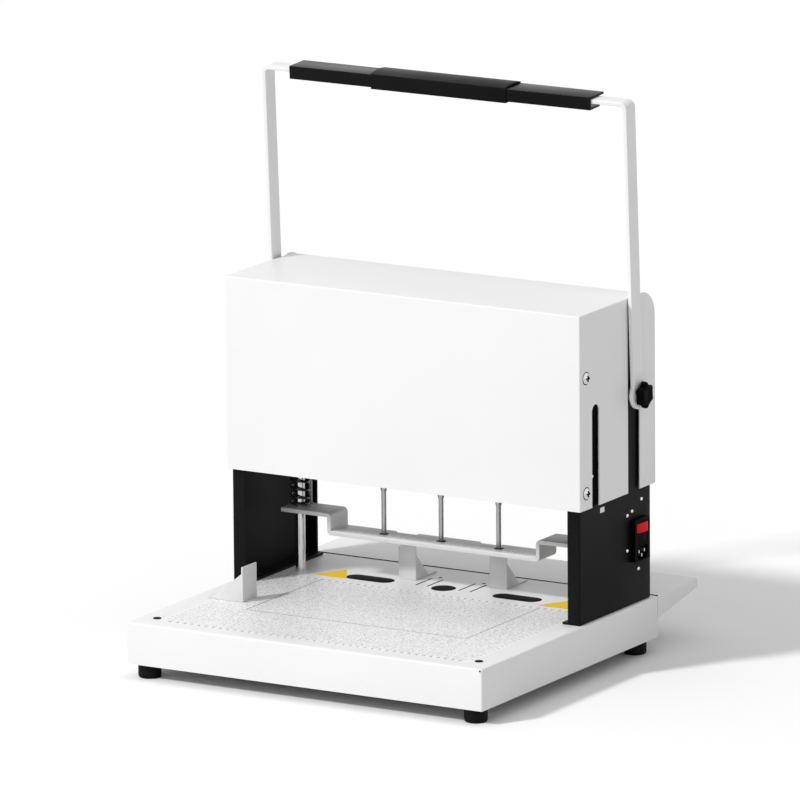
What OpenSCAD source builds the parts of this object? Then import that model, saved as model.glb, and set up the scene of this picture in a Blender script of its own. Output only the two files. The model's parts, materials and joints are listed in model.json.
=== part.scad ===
/* [Base] */
// Width of the base box and of the head covers
base_w = 490; // [470:2:520]
// Depth of the base box, without the rear deck
base_depth = 420; // [400:2:440]
// Height of the base box, without its feet
base_h = 51; // [46:1:70]
// Thickness of the base's steel sheet
base_sheet = 2; // [1.5:0.5:3]
// Thickness of the bottom plate
bottom_sheet = 2; // [1.5:0.5:3]
// Diameter of each rubber foot
foot_d = 28; // [24:1:34]
// Height of each rubber foot
foot_h = 18; // [14:1:24]
// Rounding of a foot's lower edge
foot_round = 3; // [1:0.5:4]
// Distance from the base's sides to the middle of a foot
foot_inset = 20; // [19:1:30]
// Thickness of the support frame under the table
work_beam_t = 8; // [7:1:12]
// Depth of the support frame's cross bar
work_beam_depth = 56; // [50:1:70]

/* [Rear deck] */
// Depth of the rear deck
deck_depth = 97; // [80:1:120]
// Thickness of the deck's sheet
deck_sheet = 1.5; // [1:0.25:2]
// Seam between the table and the deck
seam = 1; // [0.5:0.25:2]
// Rise of the deck towards its rear edge
deck_rise = 1.5; // [0:0.25:3]
// Height of the deck's side flange at the seam
deck_flange_front = 28; // [22:1:34]
// Height of the deck's side flange at the rear
deck_flange_rear = 11; // [8:1:16]

/* [Table] */
// Diameter of the middle cutting pad
pad_d = 30; // [26:1:34]
// Width of a side cutting pad
side_pad_w = 25; // [22:1:30]
// Thickness of the cutting pads
pad_t = 6; // [4:0.5:8]
// Length of a side cutting pad
side_pad_len = 65; // [60:1:76]
// Middle of a side cutting pad from the machine's middle
side_pad_x = 102.5; // [98:0.5:106]
// Distance that the pads lie behind the drills
pad_offset = 4.5; // [0:0.5:8]
// Width of the narrow slots in the table
slot_w = 2.4; // [1:0.2:3]
// Length of the narrow slots in the table
slot_len = 40; // [30:1:44]
// Distance from the drills' row to the front end of the slots
slot_offset = 2.5; // [0:0.5:6]
// Middle of a pair of slots from the machine's middle
slot_x = 30; // [28:0.5:32]
// Distance between the two slots of a pair
slot_pitch = 15.5; // [12:0.5:18]
// Diameter of the dark plugs near the table's front corners
plug_d = 10; // [8:0.5:14]
// Distance from the table's side to a plug
plug_side = 23; // [18:1:30]
// Distance from the table's front edge to a plug
plug_front = 33; // [26:1:44]

/* [Drilling] */
// Distance between two holes in the paper
hole_pitch = 80; // [76:1:84]
// Outer diameter of a hollow drill
drill_d = 6; // [4:0.5:8]
// Bore of a hollow drill
drill_bore = 4; // [2:0.5:6]
// Diameter of a drill's shank
shank_d = 8; // [8:0.5:10]
// Height of a drill's shank below the chuck
shank_drop = 22; // [10:1:24]
// Distance from the base's rear to the drills
drill_back = 94.5; // [90:0.5:110]
// Clear height between the table and the tips of the drills
drill_gap = 52.6; // [52.6:0.2:56]
// Length of a drill from its tip to the chuck
drill_reach = 83.4; // [80:0.2:90]

/* [Paper stops] */
// Width of a rear stop
stop_w = 24; // [20:1:26]
// Height of a rear stop
stop_h = 44; // [36:1:46]
// Thickness of a stop's sheet
stop_sheet = 2; // [1.5:0.5:3]
// Length of a rear stop's foot
stop_foot = 50; // [48:1:56]
// Height of a rear stop's gusset
stop_gusset_h = 31.6; // [24:0.2:36]
// Length of a rear stop's gusset
stop_gusset_len = 32; // [26:1:44]
// Notch in the upper corner of a rear stop
stop_notch = 4; // [2:0.5:6]
// Middle of the left rear stop
stop_left_x = -60.4; // [-61:0.1:-59]
// Middle of the right rear stop
stop_right_x = 58.9; // [58:0.1:60]
// Face of the left rear stop behind the drills
stop_left_back = 21; // [20:0.5:26]
// Face of the right rear stop behind the drills
stop_right_back = 34.1; // [28:0.1:36]
// Clamping screws of the rear stops behind the drills
clamp_back = 49; // [48:0.5:52]
// Diameter of a stop's clamping screw
clamp_d = 4; // [3:0.5:5]
// Front end of the slot in a rear stop's foot, behind its face
foot_slot_front = 10; // [8:0.5:12]
// Rear end of the slot in a rear stop's foot, behind its face
foot_slot_rear = 33; // [31:0.5:36]
// Distance of the spare holes from the machine's middle
spare_hole_x = 30.4; // [29:0.2:32]
// Width of the side stop
side_stop_w = 32.5; // [28:0.5:38]
// Height of the side stop
side_stop_h = 43; // [36:1:50]
// Distance from the machine's side to the face of the side stop
side_stop_inset = 71.5; // [65:0.5:77]
// Front edge of the side stop in front of the drills
side_stop_front = 175.5; // [170:0.5:185]
// Height of the side stop's gusset
side_gusset_h = 34.5; // [26:0.5:38]
// Length of the side stop's gusset
side_gusset_len = 46.5; // [36:0.5:48]
// Side of the square magnet on the side stop's foot
magnet_w = 20; // [14:1:24]
// Thickness of the magnet
magnet_t = 5; // [3:0.5:8]

/* [Columns] */
// Distance from the base's side to a column's web
col_inset = 4; // [4:0.5:6]
// Thickness of a column's sheet
col_sheet = 3; // [2:0.5:4]
// Depth of a column
col_depth = 171.5; // [168:0.5:180]
// Front of a column in front of the drills
col_front = 86.5; // [84:0.5:92]
// Width of a column's front and rear flanges
col_flange = 16.6; // [12:0.2:18]
// Width of a column's foot flange
col_foot = 24; // [20:1:26]
// Height of a column above the underside of the top beam
col_rise = 12; // [9:1:14]
// Diameter of the screws in a column's foot
foot_screw_d = 6; // [5:0.5:8]
// Diameter of the guide rods
rod_d = 12; // [10:0.5:13]
// Distance from the machine's side to a guide rod
rod_inset = 47; // [45:0.5:50]
// Thickness of the top beam
beam_t = 4; // [3:0.5:6]
// Underside of the top beam above the table
beam_up = 359; // [356:1:361]
// Depth of the top beam
beam_depth = 124; // [116:1:130]
// Height of the top beam's end flanges
beam_flange = 28; // [22:1:34]

/* [Power inlet] */
// Width of the inlet module
inlet_w = 36.6; // [34:0.2:38]
// Height of the inlet module
inlet_h = 52; // [51:1:56]
// Thickness of the module's bezel outside the web
inlet_out = 7; // [6:0.5:7]
// Depth of the module behind the bezel
inlet_in = 25; // [22:1:30]
// Middle of the module behind the drills
inlet_back = 53.4; // [52:0.2:55]
// Lower edge of the module above the table
inlet_up = 53; // [50:1:60]
// Length of the rocker
rocker_len = 25; // [22:0.5:26]
// Height of the rocker
rocker_h = 12; // [10:0.5:13]
// Angle of the rocker to each side
rocker_angle = 8; // [5:0.5:9]

/* [Covers] */
// Thickness of the head's white sheets
cover_sheet = 1.5; // [1:0.25:2]
// Lower edge of the covers above the table
cover_up = 140.5; // [136:0.5:145]
// Height of the front cover's top above the columns
cover_over = 7; // [6:0.5:10]
// Distance from the columns to the front cover's face
cover_front = 5; // [4:0.5:8]
// Depth of the front cover's sides
cover_side = 115.5; // [114:0.5:117]
// Depth that the top panel reaches past the sides
cover_tongue = 38.5; // [30:0.5:41]
// Width of the slot in each side of the front cover
side_slot_w = 17; // [13:1:20]
// Middle of that slot in front of the drills
side_slot_front = 54; // [52:0.5:57]
// Height of that slot
side_slot_h = 124.5; // [100:0.5:140]
// Depth of the rear cover's side flanges
rear_side = 37.6; // [36.6:0.2:38.6]
// Radius of the rear cover's rolled top
rear_roll = 32; // [26:1:36]
// Distance that the flanges stand proud of the rear panel
rear_proud = 3; // [2:0.5:3.5]
// Diameter of the washers of the cover screws
washer_d = 14; // [12:0.5:16]
// Diameter of the cover screws
cover_screw_d = 5; // [4:0.5:6]

/* [Lever] */
// Pivot of the lever above the table
pivot_up = 259; // [256:1:261]
// Pivot of the lever behind the drills
pivot_back = 41.5; // [40.5:0.5:42.5]
// Length of the lever from its pivot to its outer edge
lever_len = 360; // [330:1:380]
// Width of the lever's flat bar
lever_w = 22; // [18:1:24]
// Thickness of the lever's flat bar
lever_t = 5; // [4:0.5:6]
// Outer radius of the lever's two bends
lever_bend = 9; // [8:0.5:16]
// Gap between a cover and a lever arm
lever_gap = 2; // [2:0.25:3]
// Radius of a lever eye
eye_r = 18; // [14:1:20]
// Forward lean of the lever at rest
lean = 2.8; // [0:0.1:6]
// Distance of the bar's middle in front of the pivot
bar_front = 3.5; // [0:0.5:5]
// Length of the grip channel
grip_len = 416; // [380:2:440]
// Shift of the grip channel and its sleeve to the right
grip_shift = -3.5; // [-6:0.5:6]
// Wall of the grip channel
grip_wall = 3; // [2:0.5:3.5]
// Depth of the grip channel in front of the bar's middle
grip_front = 14; // [13:0.5:17]
// Depth of the grip channel's top flange behind the bar's middle
grip_back = 20; // [12:0.5:22]
// Depth of the grip channel's lower flange behind the bar's middle
grip_lower = 10; // [6:0.5:13]
// Height of the grip channel
grip_h = 16; // [14:0.5:18]
// Length of the grip sleeve
sleeve_len = 187; // [150:1:220]
// Wall of the grip sleeve
sleeve_wall = 1.5; // [1:0.5:3]
// Rise of the sleeve's domed top
sleeve_dome = 2.5; // [1:0.5:4]
// Diameter of the cross shaft
shaft_d = 16; // [14:0.5:18]
// Outer diameter of a shaft bearing
bearing_d = 22; // [20:0.5:24]
// Diameter of a star knob without its lobes
knob_core = 25; // [22:1:28]
// Overall diameter of a star knob
knob_d = 33; // [31:0.5:36]
// Thickness of a star knob
knob_t = 8.7; // [8:0.1:14]
// Number of lobes of a star knob
knob_lobes = 6; // [5:1:9]
// Length of the neck between a star knob and its arm
knob_neck = 2; // [1:0.5:4]

/* [Carriage] */
// Tooth module of the pinions and racks
gear_m = 2; // [2:0.5:2]
// Number of teeth of a pinion
pinion_teeth = 30; // [30:1:30]
// Distance from the machine's middle to a pinion
pinion_x = 150; // [144:1:156]
// Width of a rack
rack_w = 12; // [10:1:14]
// Height of a rack above the pivot when the carriage is down
rack_spare = 8; // [6:1:14]
// Thickness of the carriage plate
plate_t = 8; // [6:0.5:10]
// Length of the carriage plate past a guide rod
plate_end = 17; // [15:1:24]
// Depth of the carriage plate
plate_depth = 70; // [68:1:74]
// Diameter of a motor
motor_d = 56; // [48:1:60]
// Height of a motor above the plate
motor_h = 104; // [90:1:110]
// Diameter of a motor's nose below the plate
nose_d = 34; // [30:1:36]
// Height of a motor's nose below the plate
nose_h = 18; // [16:1:20]
// Diameter of a chuck
chuck_d = 26; // [22:1:30]
// Height of a chuck
chuck_h = 26.7; // [24:0.1:27.7]
// Diameter of a spindle
spindle_d = 10; // [8:0.5:12]
// Outer diameter of a guide bush
bush_d = 19; // [17:0.5:20]
// Diameter of a guide bush's flange
bush_flange = 25; // [24:0.5:25]
// Outer diameter of a return spring
return_d = 14; // [10:1:16]
// Distance from the machine's middle to a return spring
return_x = 120; // [118:1:122]

/* [Press plate] */
// Thickness of the press plate
press_t = 5; // [4:0.5:6]
// Half the width of the press plate's lower bar
press_half = 148; // [144:1:152]
// Length of the press plate's ears past a guide rod
ear_end = 15; // [13:1:18]
// Height from the lower bar's underside to the ears' top
press_rise = 27; // [24:0.5:30]
// Depth of the press plate in front of the drills
press_front = 20.5; // [18:0.5:22]
// Depth of the press plate behind the drills
press_back = 20.5; // [18:0.5:22]
// Height of the press plate above the tips of the drills
press_lift = 1.6; // [0:0.2:3]
// Outer radius of the press plate's bends
press_bend = 6; // [6:0.5:8]
// Middle of a notch in the press plate's rear edge
notch_x = 58.5; // [58:0.5:60]
// Width of a notch
notch_w = 31; // [30:1:34]
// Depth of a notch
notch_depth = 6; // [5:0.5:8]
// Outer diameter of a drill's bush in the press plate
press_bush_d = 12; // [11:0.5:14]
// Width of the scale strip
strip_w = 12; // [8:1:13]
// Thickness of the scale strip
strip_t = 0.8; // [0.5:0.1:1.5]
// Outer diameter of a press spring
spring_d = 24; // [20:1:26]
// Wire of a press spring
wire_d = 2.5; // [1.5:0.25:3]
// Pitch of a press spring
spring_pitch = 10.2; // [8:0.2:14]
// Diameter of a hanger rod
hanger_d = 5.5; // [4:0.5:6]
// Distance from a guide rod to the hanger rod beside it, towards the middle
hanger_in = 5.3; // [4:0.1:7]
// Distance of the hanger rods behind the drills
hanger_back = 14.5; // [14:0.5:17]

/* [Fits] */
// Radial clearance of a running fit
fit = 0.05; // [0.02:0.01:0.08]
// Gap between a piece and its seat
gap = 0.3; // [0.2:0.05:0.4]
// Gap under a stop that slides on the table
slide_gap = 0.2; // [0.1:0.05:0.3]

/* [Hidden] */
$fn = 64;
over = 1;
full_turn = 360;

half_w = base_w / 2;
side_stop_x = half_w - side_stop_inset;
front_y = -(base_depth + seam + deck_depth) / 2;
rear_y = front_y + base_depth;
deck_rear_y = rear_y + seam + deck_depth;
table_z = foot_h + base_h;
drill_y = rear_y - drill_back;
pad_y = drill_y + pad_offset;
beam_top_z = table_z - base_sheet;
beam_low_z = beam_top_z - work_beam_t;
rod_x = half_w - rod_inset;
feet_screw_d = 5;
feet_head_d = 9;
feet_head_h = 3.5;
feet_recess_d = 11;
feet_recess_h = 8;
feet_boss_d = 10;
feet_boss_h = 6;
plug_stem_d = plug_d - 3;

web_out = half_w - col_inset;
web_in = web_out - col_sheet;
col_y0 = drill_y - col_front;
col_y1 = col_y0 + col_depth;
foot_screw_in = 1.5;
foot_screw_end = 30;
foot_screw_x = web_out - col_foot / 2 - foot_screw_in;
foot_screw_y = [col_y0 + foot_screw_end, col_y1 - foot_screw_end];
top_beam_z = table_z + beam_up;
col_top_z = top_beam_z + col_rise;
beam_front = 66.5;
top_beam_y = [drill_y - beam_front, drill_y - beam_front + beam_depth];
beam_screw_end = 20;
beam_screw_pitch = 100;
beam_screw_y = [top_beam_y[0] + beam_screw_end, top_beam_y[0] + beam_screw_end + beam_screw_pitch];
beam_screw_z = top_beam_z - beam_flange / 2;
beam_screw_d = 5;
nut_d = 20;
nut_h = 8;

pivot_y = drill_y + pivot_back;
pivot_z = table_z + pivot_up;
pitch_r = gear_m * pinion_teeth / 2;
tip_z = table_z + drill_gap;
chuck_z = tip_z + drill_reach;
plate_z = chuck_z + chuck_h + gap + nose_h;
plate_top_z = plate_z + plate_t;
plate_front = 36.5;
plate_y = [drill_y - plate_front, drill_y - plate_front + plate_depth];
plate_half = rod_x + plate_end;
hanger_x = rod_x - hanger_in;
bush_flange_h = 10;
bush_low_z = plate_z - bush_flange_h;
bush_up = 12;
drill_xs = [-hole_pitch, 0, hole_pitch];
chuck_bore_depth = 20;
spindle_up = 68;

cover_z = table_z + cover_up;
cover_top_z = col_top_z + cover_over;
cover_y0 = col_y0 - cover_front;
cover_y1 = cover_y0 + cover_side;
cover_in = half_w - cover_sheet;
cover_screw_in = 10;
cover_screw_low = 20;
cover_screw_pitch = 140;
cover_screw_y = col_y0 + cover_screw_in;
cover_screw_z = [cover_z + cover_screw_low, cover_z + cover_screw_low + cover_screw_pitch];
cover_gap = 28.5;
rear_y0 = cover_y1 + cover_gap;
rear_y1 = rear_y0 + rear_side;
rear_top_z = cover_top_z + 1;
roll_y = rear_y1 - rear_roll;
roll_z = rear_top_z - rear_roll;
panel_r = rear_roll - rear_proud;
rear_lip = 12;
rear_screw_in = 8.5;
rear_screw_down = 16.5;
rear_screw_x = web_out - rear_screw_in;
rear_screw_z = [cover_z + cover_screw_low, roll_z - rear_screw_down];

arm_in = half_w + lever_gap;
arm_out = arm_in + lever_t;
arm_pin_d = shaft_d - 4;
stud_d = shaft_d - 6;
stud_len = 10;
bearing_out = 1.5;
bearing_flange_d = bearing_d + 8;
bearing_flange_t = 4;

press_z = tip_z + press_lift;
ear_z = press_z + press_rise - press_t;
press_top_z = press_z + press_rise;
press_y = [drill_y - press_front, drill_y + press_back];
ear_half = rod_x + ear_end;
hanger_y = drill_y + hanger_back;
hanger_nut_d = 9;
hanger_nut_h = 4.7;

inlet_y = drill_y + inlet_back;
inlet_z = table_z + inlet_up;
bezel_x = web_out + inlet_out;
inlet_lip = 2;
socket_w = 24.6;
socket_h = 16;
socket_y = inlet_y - 0.3;
socket_z = inlet_z + 1.5;
socket_depth = 16;
pin_spread = 6.5;
pin_w = 2;
pin_h = 4;
pin_up = 10;
ground_pin_up = 5;
pin_root = 6;
drawer_w = 22;
drawer_h = 11;
drawer_depth = 18;
drawer_z = socket_z + socket_h + 2.7;
rocker_z = drawer_z + drawer_h + 2.8;
rocker_x = bezel_x - 4.5;
rocker_pin_d = 3;
rocker_pin_len = 1.5;
rocker_well = 6;
rocker_end_gap = 0.8;
// Middles of the small screws in the right web, behind the drills and above the table
web_screws = [[63, 125.4], [40, 114.8], [29, 111.5], [28.6, 68.6], [55.2, 41.5]];
web_screw_d = 3;
web_head_d = 5;

stop_screw_y = drill_y + clamp_back;
stop_hole_d = clamp_d + 1;
deck_screw_x = [-150, 0, 150];
deck_screw_down = 12;
deck_screw_z = table_z - deck_screw_down;
deck_screw_d = 4;

white = [0.93, 0.93, 0.92];
black = [0.1, 0.1, 0.11];
dark = [0.18, 0.18, 0.19];
steel = [0.72, 0.73, 0.75];
gray = [0.55, 0.56, 0.58];
zinc = [0.8, 0.8, 0.78];

// A block from its two corners
module block(x, y, z) {
    translate([x[0], y[0], z[0]])
        cube([x[1] - x[0], y[1] - y[0], z[1] - z[0]]);
}

// A flat shape in Y and Z, thick along X
module along_x(x0, x1) {
    translate([x0, 0, 0])
        rotate([90, 0, 90])
            linear_extrude(x1 - x0)
                children();
}

// A flat shape in X and Z, thick along Y
module along_y(y0, y1) {
    translate([0, y1, 0])
        rotate([90, 0, 0])
            linear_extrude(y1 - y0)
                children();
}

// A rectangle from its two corners
module area(a, b) {
    translate([a[0], b[0]])
        square([a[1] - a[0], b[1] - b[0]]);
}

module pin_x(d, x0, x1) {
    translate([x0, 0, 0])
        rotate([0, 90, 0])
            cylinder(d = d, h = x1 - x0);
}

module pin_y(d, y0, y1) {
    translate([0, y0, 0])
        rotate([-90, 0, 0])
            cylinder(d = d, h = y1 - y0);
}

module pin_z(d, z0, z1) {
    translate([0, 0, z0])
        cylinder(d = d, h = z1 - z0);
}

module both_sides() {
    children();
    mirror([1, 0, 0])
        children();
}

// A quarter of a flat ring, in the corner that the signs name
module bend(center, r_out, r_in, sx, sy) {
    translate(center)
        intersection() {
            difference() {
                circle(r_out);
                circle(r_in);
            }
            mirror([sx < 0 ? 1 : 0, 0])
                mirror([0, sy < 0 ? 1 : 0])
                    square(r_out + over);
        }
}

// The places of the four feet
module at_feet() {
    for (x = [-1, 1])
        for (y = [front_y + foot_inset, rear_y - foot_inset])
            translate([x * (half_w - foot_inset), y, 0])
                children();
}

module at_foot_screws() {
    for (x = [-1, 1])
        for (y = foot_screw_y)
            translate([x * foot_screw_x, y, 0])
                children();
}

module at_rods() {
    for (x = [-1, 1])
        translate([x * rod_x, drill_y, 0])
            children();
}

// A pad's outline with round ends, wider by the given amount
module pad_outline(len, w, grow) {
    reach = (len - w) / 2;
    for (x = [-reach, reach])
        translate([x, 0])
            circle(d = w + 2 * grow);
    if (reach > 0)
        square([2 * reach, w + 2 * grow], center = true);
}

module all_pads(grow, z0, z1) {
    for (x = [-side_pad_x, side_pad_x])
        translate([x, pad_y, z0])
            linear_extrude(z1 - z0)
                pad_outline(side_pad_len, side_pad_w, grow);
    translate([0, pad_y, z0])
        linear_extrude(z1 - z0)
            pad_outline(pad_d, pad_d, grow);
}

module base_shell() {
    color(white)
        difference() {
            block([-half_w, half_w], [front_y, rear_y], [foot_h, table_z]);
            block([base_sheet - half_w, half_w - base_sheet],
                [front_y + base_sheet, rear_y - base_sheet], [foot_h - over, beam_top_z]);
            all_pads(gap / 2, beam_top_z - over, table_z + over);
            at_rods()
                pin_z(rod_d + 2 * fit, beam_top_z - over, table_z + over);
            at_foot_screws()
                pin_z(foot_screw_d + 2 * fit, beam_top_z - over, table_z + over);
            for (x = [stop_left_x, -spare_hole_x, spare_hole_x, stop_right_x])
                translate([x, stop_screw_y, 0])
                    pin_z(stop_hole_d, beam_top_z - over, table_z + over);
            for (x = [-slot_x, slot_x])
                for (side = [-0.5, 0.5])
                    translate([x + side * slot_pitch - slot_w / 2, drill_y + slot_offset,
                        beam_top_z - over])
                        cube([slot_w, slot_len, base_sheet + 2 * over]);
            both_sides()
                translate([half_w - plug_side, front_y + plug_front, 0])
                    pin_z(plug_stem_d + 2 * fit, beam_top_z - over, table_z + over);
            for (x = deck_screw_x)
                translate([x, 0, deck_screw_z])
                    pin_y(deck_screw_d + 2 * fit, rear_y - base_sheet - over, rear_y + over);
        }
}

module bottom_plate() {
    color(gray)
        difference() {
            union() {
                block([base_sheet + gap - half_w, half_w - base_sheet - gap],
                    [front_y + base_sheet + gap, rear_y - base_sheet - gap],
                    [foot_h, foot_h + bottom_sheet]);
                at_feet()
                    pin_z(feet_boss_d, foot_h, foot_h + feet_boss_h);
            }
            at_feet()
                pin_z(feet_screw_d + 2 * fit, foot_h - over, foot_h + feet_boss_h + over);
        }
}

module deck_side(inset, low) {
    z0 = table_z - deck_flange_front + inset;
    z1 = table_z + deck_rise - deck_flange_rear + inset;
    y0 = rear_y + seam - low;
    y1 = deck_rear_y - inset;
    polygon([[y0, z0 - low], [y1, z1 - low], [y1, table_z + deck_rise - inset],
        [y0, table_z - inset]]);
}

module rear_deck() {
    drop = deck_flange_front;
    lip = 20;
    color(white)
        difference() {
            union() {
                difference() {
                    along_x(-half_w, half_w)
                        deck_side(0, 0);
                    along_x(deck_sheet - half_w, half_w - deck_sheet)
                        deck_side(deck_sheet, over + drop);
                }
                block([deck_sheet - half_w, half_w - deck_sheet],
                    [rear_y + gap, rear_y + gap + deck_sheet],
                    [table_z - lip, table_z - deck_sheet - slide_gap]);
                block([deck_sheet - half_w, half_w - deck_sheet],
                    [rear_y + seam, rear_y + seam + deck_sheet],
                    [table_z - lip, table_z - deck_sheet / 2]);
            }
            for (x = deck_screw_x)
                translate([x, 0, deck_screw_z])
                    pin_y(deck_screw_d + 2 * fit, rear_y, rear_y + seam + 2 * deck_sheet);
        }
}

module foot_profile() {
    r = foot_d / 2;
    difference() {
        union() {
            square([r - foot_round, foot_h]);
            translate([0, foot_round])
                square([r, foot_h - foot_round]);
            translate([r - foot_round, foot_round])
                circle(foot_round);
        }
        translate([-r, 0])
            square([r, foot_h]);
    }
}

module rubber_feet() {
    color(black)
        at_feet()
            difference() {
                rotate_extrude()
                    foot_profile();
                pin_z(feet_recess_d, -over, feet_recess_h);
                pin_z(feet_screw_d + 2 * fit, 0, foot_h + over);
            }
}

module foot_screws() {
    color(zinc)
        at_feet() {
            pin_z(feet_head_d, feet_recess_h - feet_head_h, feet_recess_h);
            pin_z(feet_screw_d, feet_recess_h, foot_h + feet_boss_h + over);
        }
}

module work_beam() {
    screw_edge = 12.5;
    inner = foot_screw_x - foot_screw_d / 2 - screw_edge;
    outer = web_out - 1;
    mid_y = drill_y + pad_offset - work_beam_depth / 2;
    color(dark)
        difference() {
            union() {
                block([-outer, outer], [mid_y, mid_y + work_beam_depth], [beam_low_z, beam_top_z]);
                both_sides()
                    block([inner, outer], [col_y0, col_y1], [beam_low_z, beam_top_z]);
            }
            all_pads(gap / 2, table_z - pad_t, beam_top_z + over);
            at_rods()
                pin_z(rod_d + 2 * fit, beam_low_z - over, beam_top_z + over);
            at_foot_screws()
                pin_z(foot_screw_d + 2 * fit, beam_low_z - over, beam_top_z + over);
        }
}

module drill_pad(x, len, w) {
    color(black)
        translate([x, pad_y, table_z - pad_t])
            linear_extrude(pad_t)
                pad_outline(len, w, 0);
}

module drill_pad_left() {
    drill_pad(-side_pad_x, side_pad_len, side_pad_w);
}

module drill_pad_center() {
    drill_pad(0, pad_d, pad_d);
}

module drill_pad_right() {
    drill_pad(side_pad_x, side_pad_len, side_pad_w);
}

// A bent stop: its face looks along -Y, its foot runs along +Y
module stop_bracket(w, h, gusset_x, gusset_h, gusset_len, notch) {
    difference() {
        block([0, w], [0, stop_sheet], [0, h]);
        if (notch > 0)
            block([-over, notch], [-over, stop_sheet + over], [h - notch, h + over]);
    }
    block([0, w], [0, stop_foot], [0, stop_sheet]);
    along_x(gusset_x, gusset_x + stop_sheet)
        polygon([[0, 0], [gusset_len, 0], [stop_sheet, gusset_h], [0, gusset_h]]);
}

module rear_stop(x, back) {
    slot_d = clamp_d + 0.6;
    color(gray)
        translate([x - stop_w / 2, drill_y + back, table_z + slide_gap])
            difference() {
                stop_bracket(stop_w, stop_h, stop_w - stop_sheet, stop_gusset_h,
                    stop_gusset_len, stop_notch);
                for (y = [foot_slot_front, foot_slot_rear])
                    translate([stop_w / 2, y, 0])
                        pin_z(slot_d, -over, stop_sheet + over);
                translate([(stop_w - slot_d) / 2, foot_slot_front, -over])
                    cube([slot_d, foot_slot_rear - foot_slot_front, stop_sheet + 2 * over]);
            }
}

module rear_stop_left() {
    rear_stop(stop_left_x, stop_left_back);
}

module rear_stop_right() {
    rear_stop(stop_right_x, stop_right_back);
}

module stop_screws() {
    head_z = table_z + stop_sheet + 2 * slide_gap;
    head_h = 2.6;
    screw_nut_h = 3;
    nut_z = beam_top_z - screw_nut_h;
    color(zinc)
        for (x = [stop_left_x, stop_right_x])
            translate([x, stop_screw_y, 0]) {
                pin_z(2 * clamp_d, head_z, head_z + head_h);
                pin_z(clamp_d, nut_z - screw_nut_h, head_z + over);
                difference() {
                    pin_z(2 * clamp_d, nut_z, beam_top_z);
                    pin_z(clamp_d + 2 * fit, nut_z - over, beam_top_z + over);
                }
            }
}

module on_side_stop() {
    translate([-side_stop_x, drill_y - side_stop_front, table_z + slide_gap])
        rotate([0, 0, 90])
            children();
}

module side_stop() {
    color(gray)
        on_side_stop()
            stop_bracket(side_stop_w, side_stop_h, 0, side_gusset_h, side_gusset_len, 0);
}

module side_stop_magnet() {
    back = 12;
    color(dark)
        on_side_stop()
            translate([(side_stop_w + stop_sheet - magnet_w) / 2, back, stop_sheet])
                cube([magnet_w, magnet_w, magnet_t]);
}

// The column on the right, with the holes that both columns have
module column() {
    clip_gap = 1.5;
    clip_r = panel_r - cover_sheet - clip_gap;
    color(black)
        difference() {
            union() {
                block([web_in, web_out], [col_y0, col_y1], [table_z, col_top_z]);
                for (y = [col_y0, col_y1 - col_sheet])
                    block([web_out - col_flange, web_out], [y, y + col_sheet],
                        [table_z, col_top_z]);
                block([web_out - col_foot, web_out], [col_y0, col_y1],
                    [table_z, table_z + col_sheet]);
            }
            translate([0, pivot_y, pivot_z])
                pin_x(bearing_d + 2 * fit, web_in - over, web_out + over);
            for (y = beam_screw_y)
                translate([0, y, beam_screw_z])
                    pin_x(beam_screw_d + 2 * fit, web_in - over, web_out + over);
            for (z = cover_screw_z)
                translate([0, cover_screw_y, z])
                    pin_x(cover_screw_d + 2 * fit, web_in - over, web_out + over);
            for (z = rear_screw_z)
                translate([rear_screw_x, 0, z])
                    pin_y(cover_screw_d + 2 * fit, col_y1 - col_sheet - over, col_y1 + over);
            for (y = foot_screw_y)
                translate([foot_screw_x, y, 0])
                    pin_z(foot_screw_d + 2 * fit, table_z - over, table_z + col_sheet + over);
            along_x(web_out - col_flange - over, web_out + over)
                difference() {
                    area([roll_y, col_y1 + over], [roll_z, col_top_z + over]);
                    translate([roll_y, roll_z])
                        circle(clip_r);
                }
        }
}

module left_column() {
    mirror([1, 0, 0])
        column();
}

module right_column() {
    difference() {
        column();
        block([web_in - over, web_out + over],
            [inlet_y - inlet_w / 2 + inlet_lip - gap, inlet_y + inlet_w / 2 - inlet_lip + gap],
            [inlet_z - gap, inlet_z + inlet_h - inlet_lip + gap]);
        for (s = web_screws)
            translate([0, drill_y + s[0], table_z + s[1]])
                pin_x(web_screw_d + 2 * fit, web_in - over, web_out + over);
    }
}

module column_foot_screws() {
    head_z = table_z + col_sheet;
    head_d = 10;
    head_h = 3;
    color(black)
        at_foot_screws() {
            pin_z(head_d, head_z, head_z + head_h);
            pin_z(foot_screw_d, beam_low_z - 2 * over, head_z + over);
        }
}

module frame_screws() {
    web_head_h = 1.2;
    beam_head_d = 9;
    beam_head_h = 2;
    deck_head_d = 8;
    deck_head_h = 2.5;
    screw_end = 2;
    color(zinc) {
        for (s = web_screws)
            translate([0, drill_y + s[0], table_z + s[1]]) {
                pin_x(web_head_d, web_out, web_out + web_head_h);
                pin_x(web_screw_d, web_in - screw_end, web_out + over);
            }
        both_sides()
            for (y = beam_screw_y)
                translate([0, y, beam_screw_z]) {
                    pin_x(beam_head_d, web_out, web_out + beam_head_h);
                    pin_x(beam_screw_d, web_in - beam_t - screw_end, web_out + over);
                }
        for (x = deck_screw_x)
            translate([x, rear_y + seam + deck_sheet, deck_screw_z]) {
                pin_y(deck_head_d, 0, deck_head_h);
                pin_y(deck_screw_d, -seam - deck_sheet - base_sheet - screw_end, over);
            }
    }
}

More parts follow.
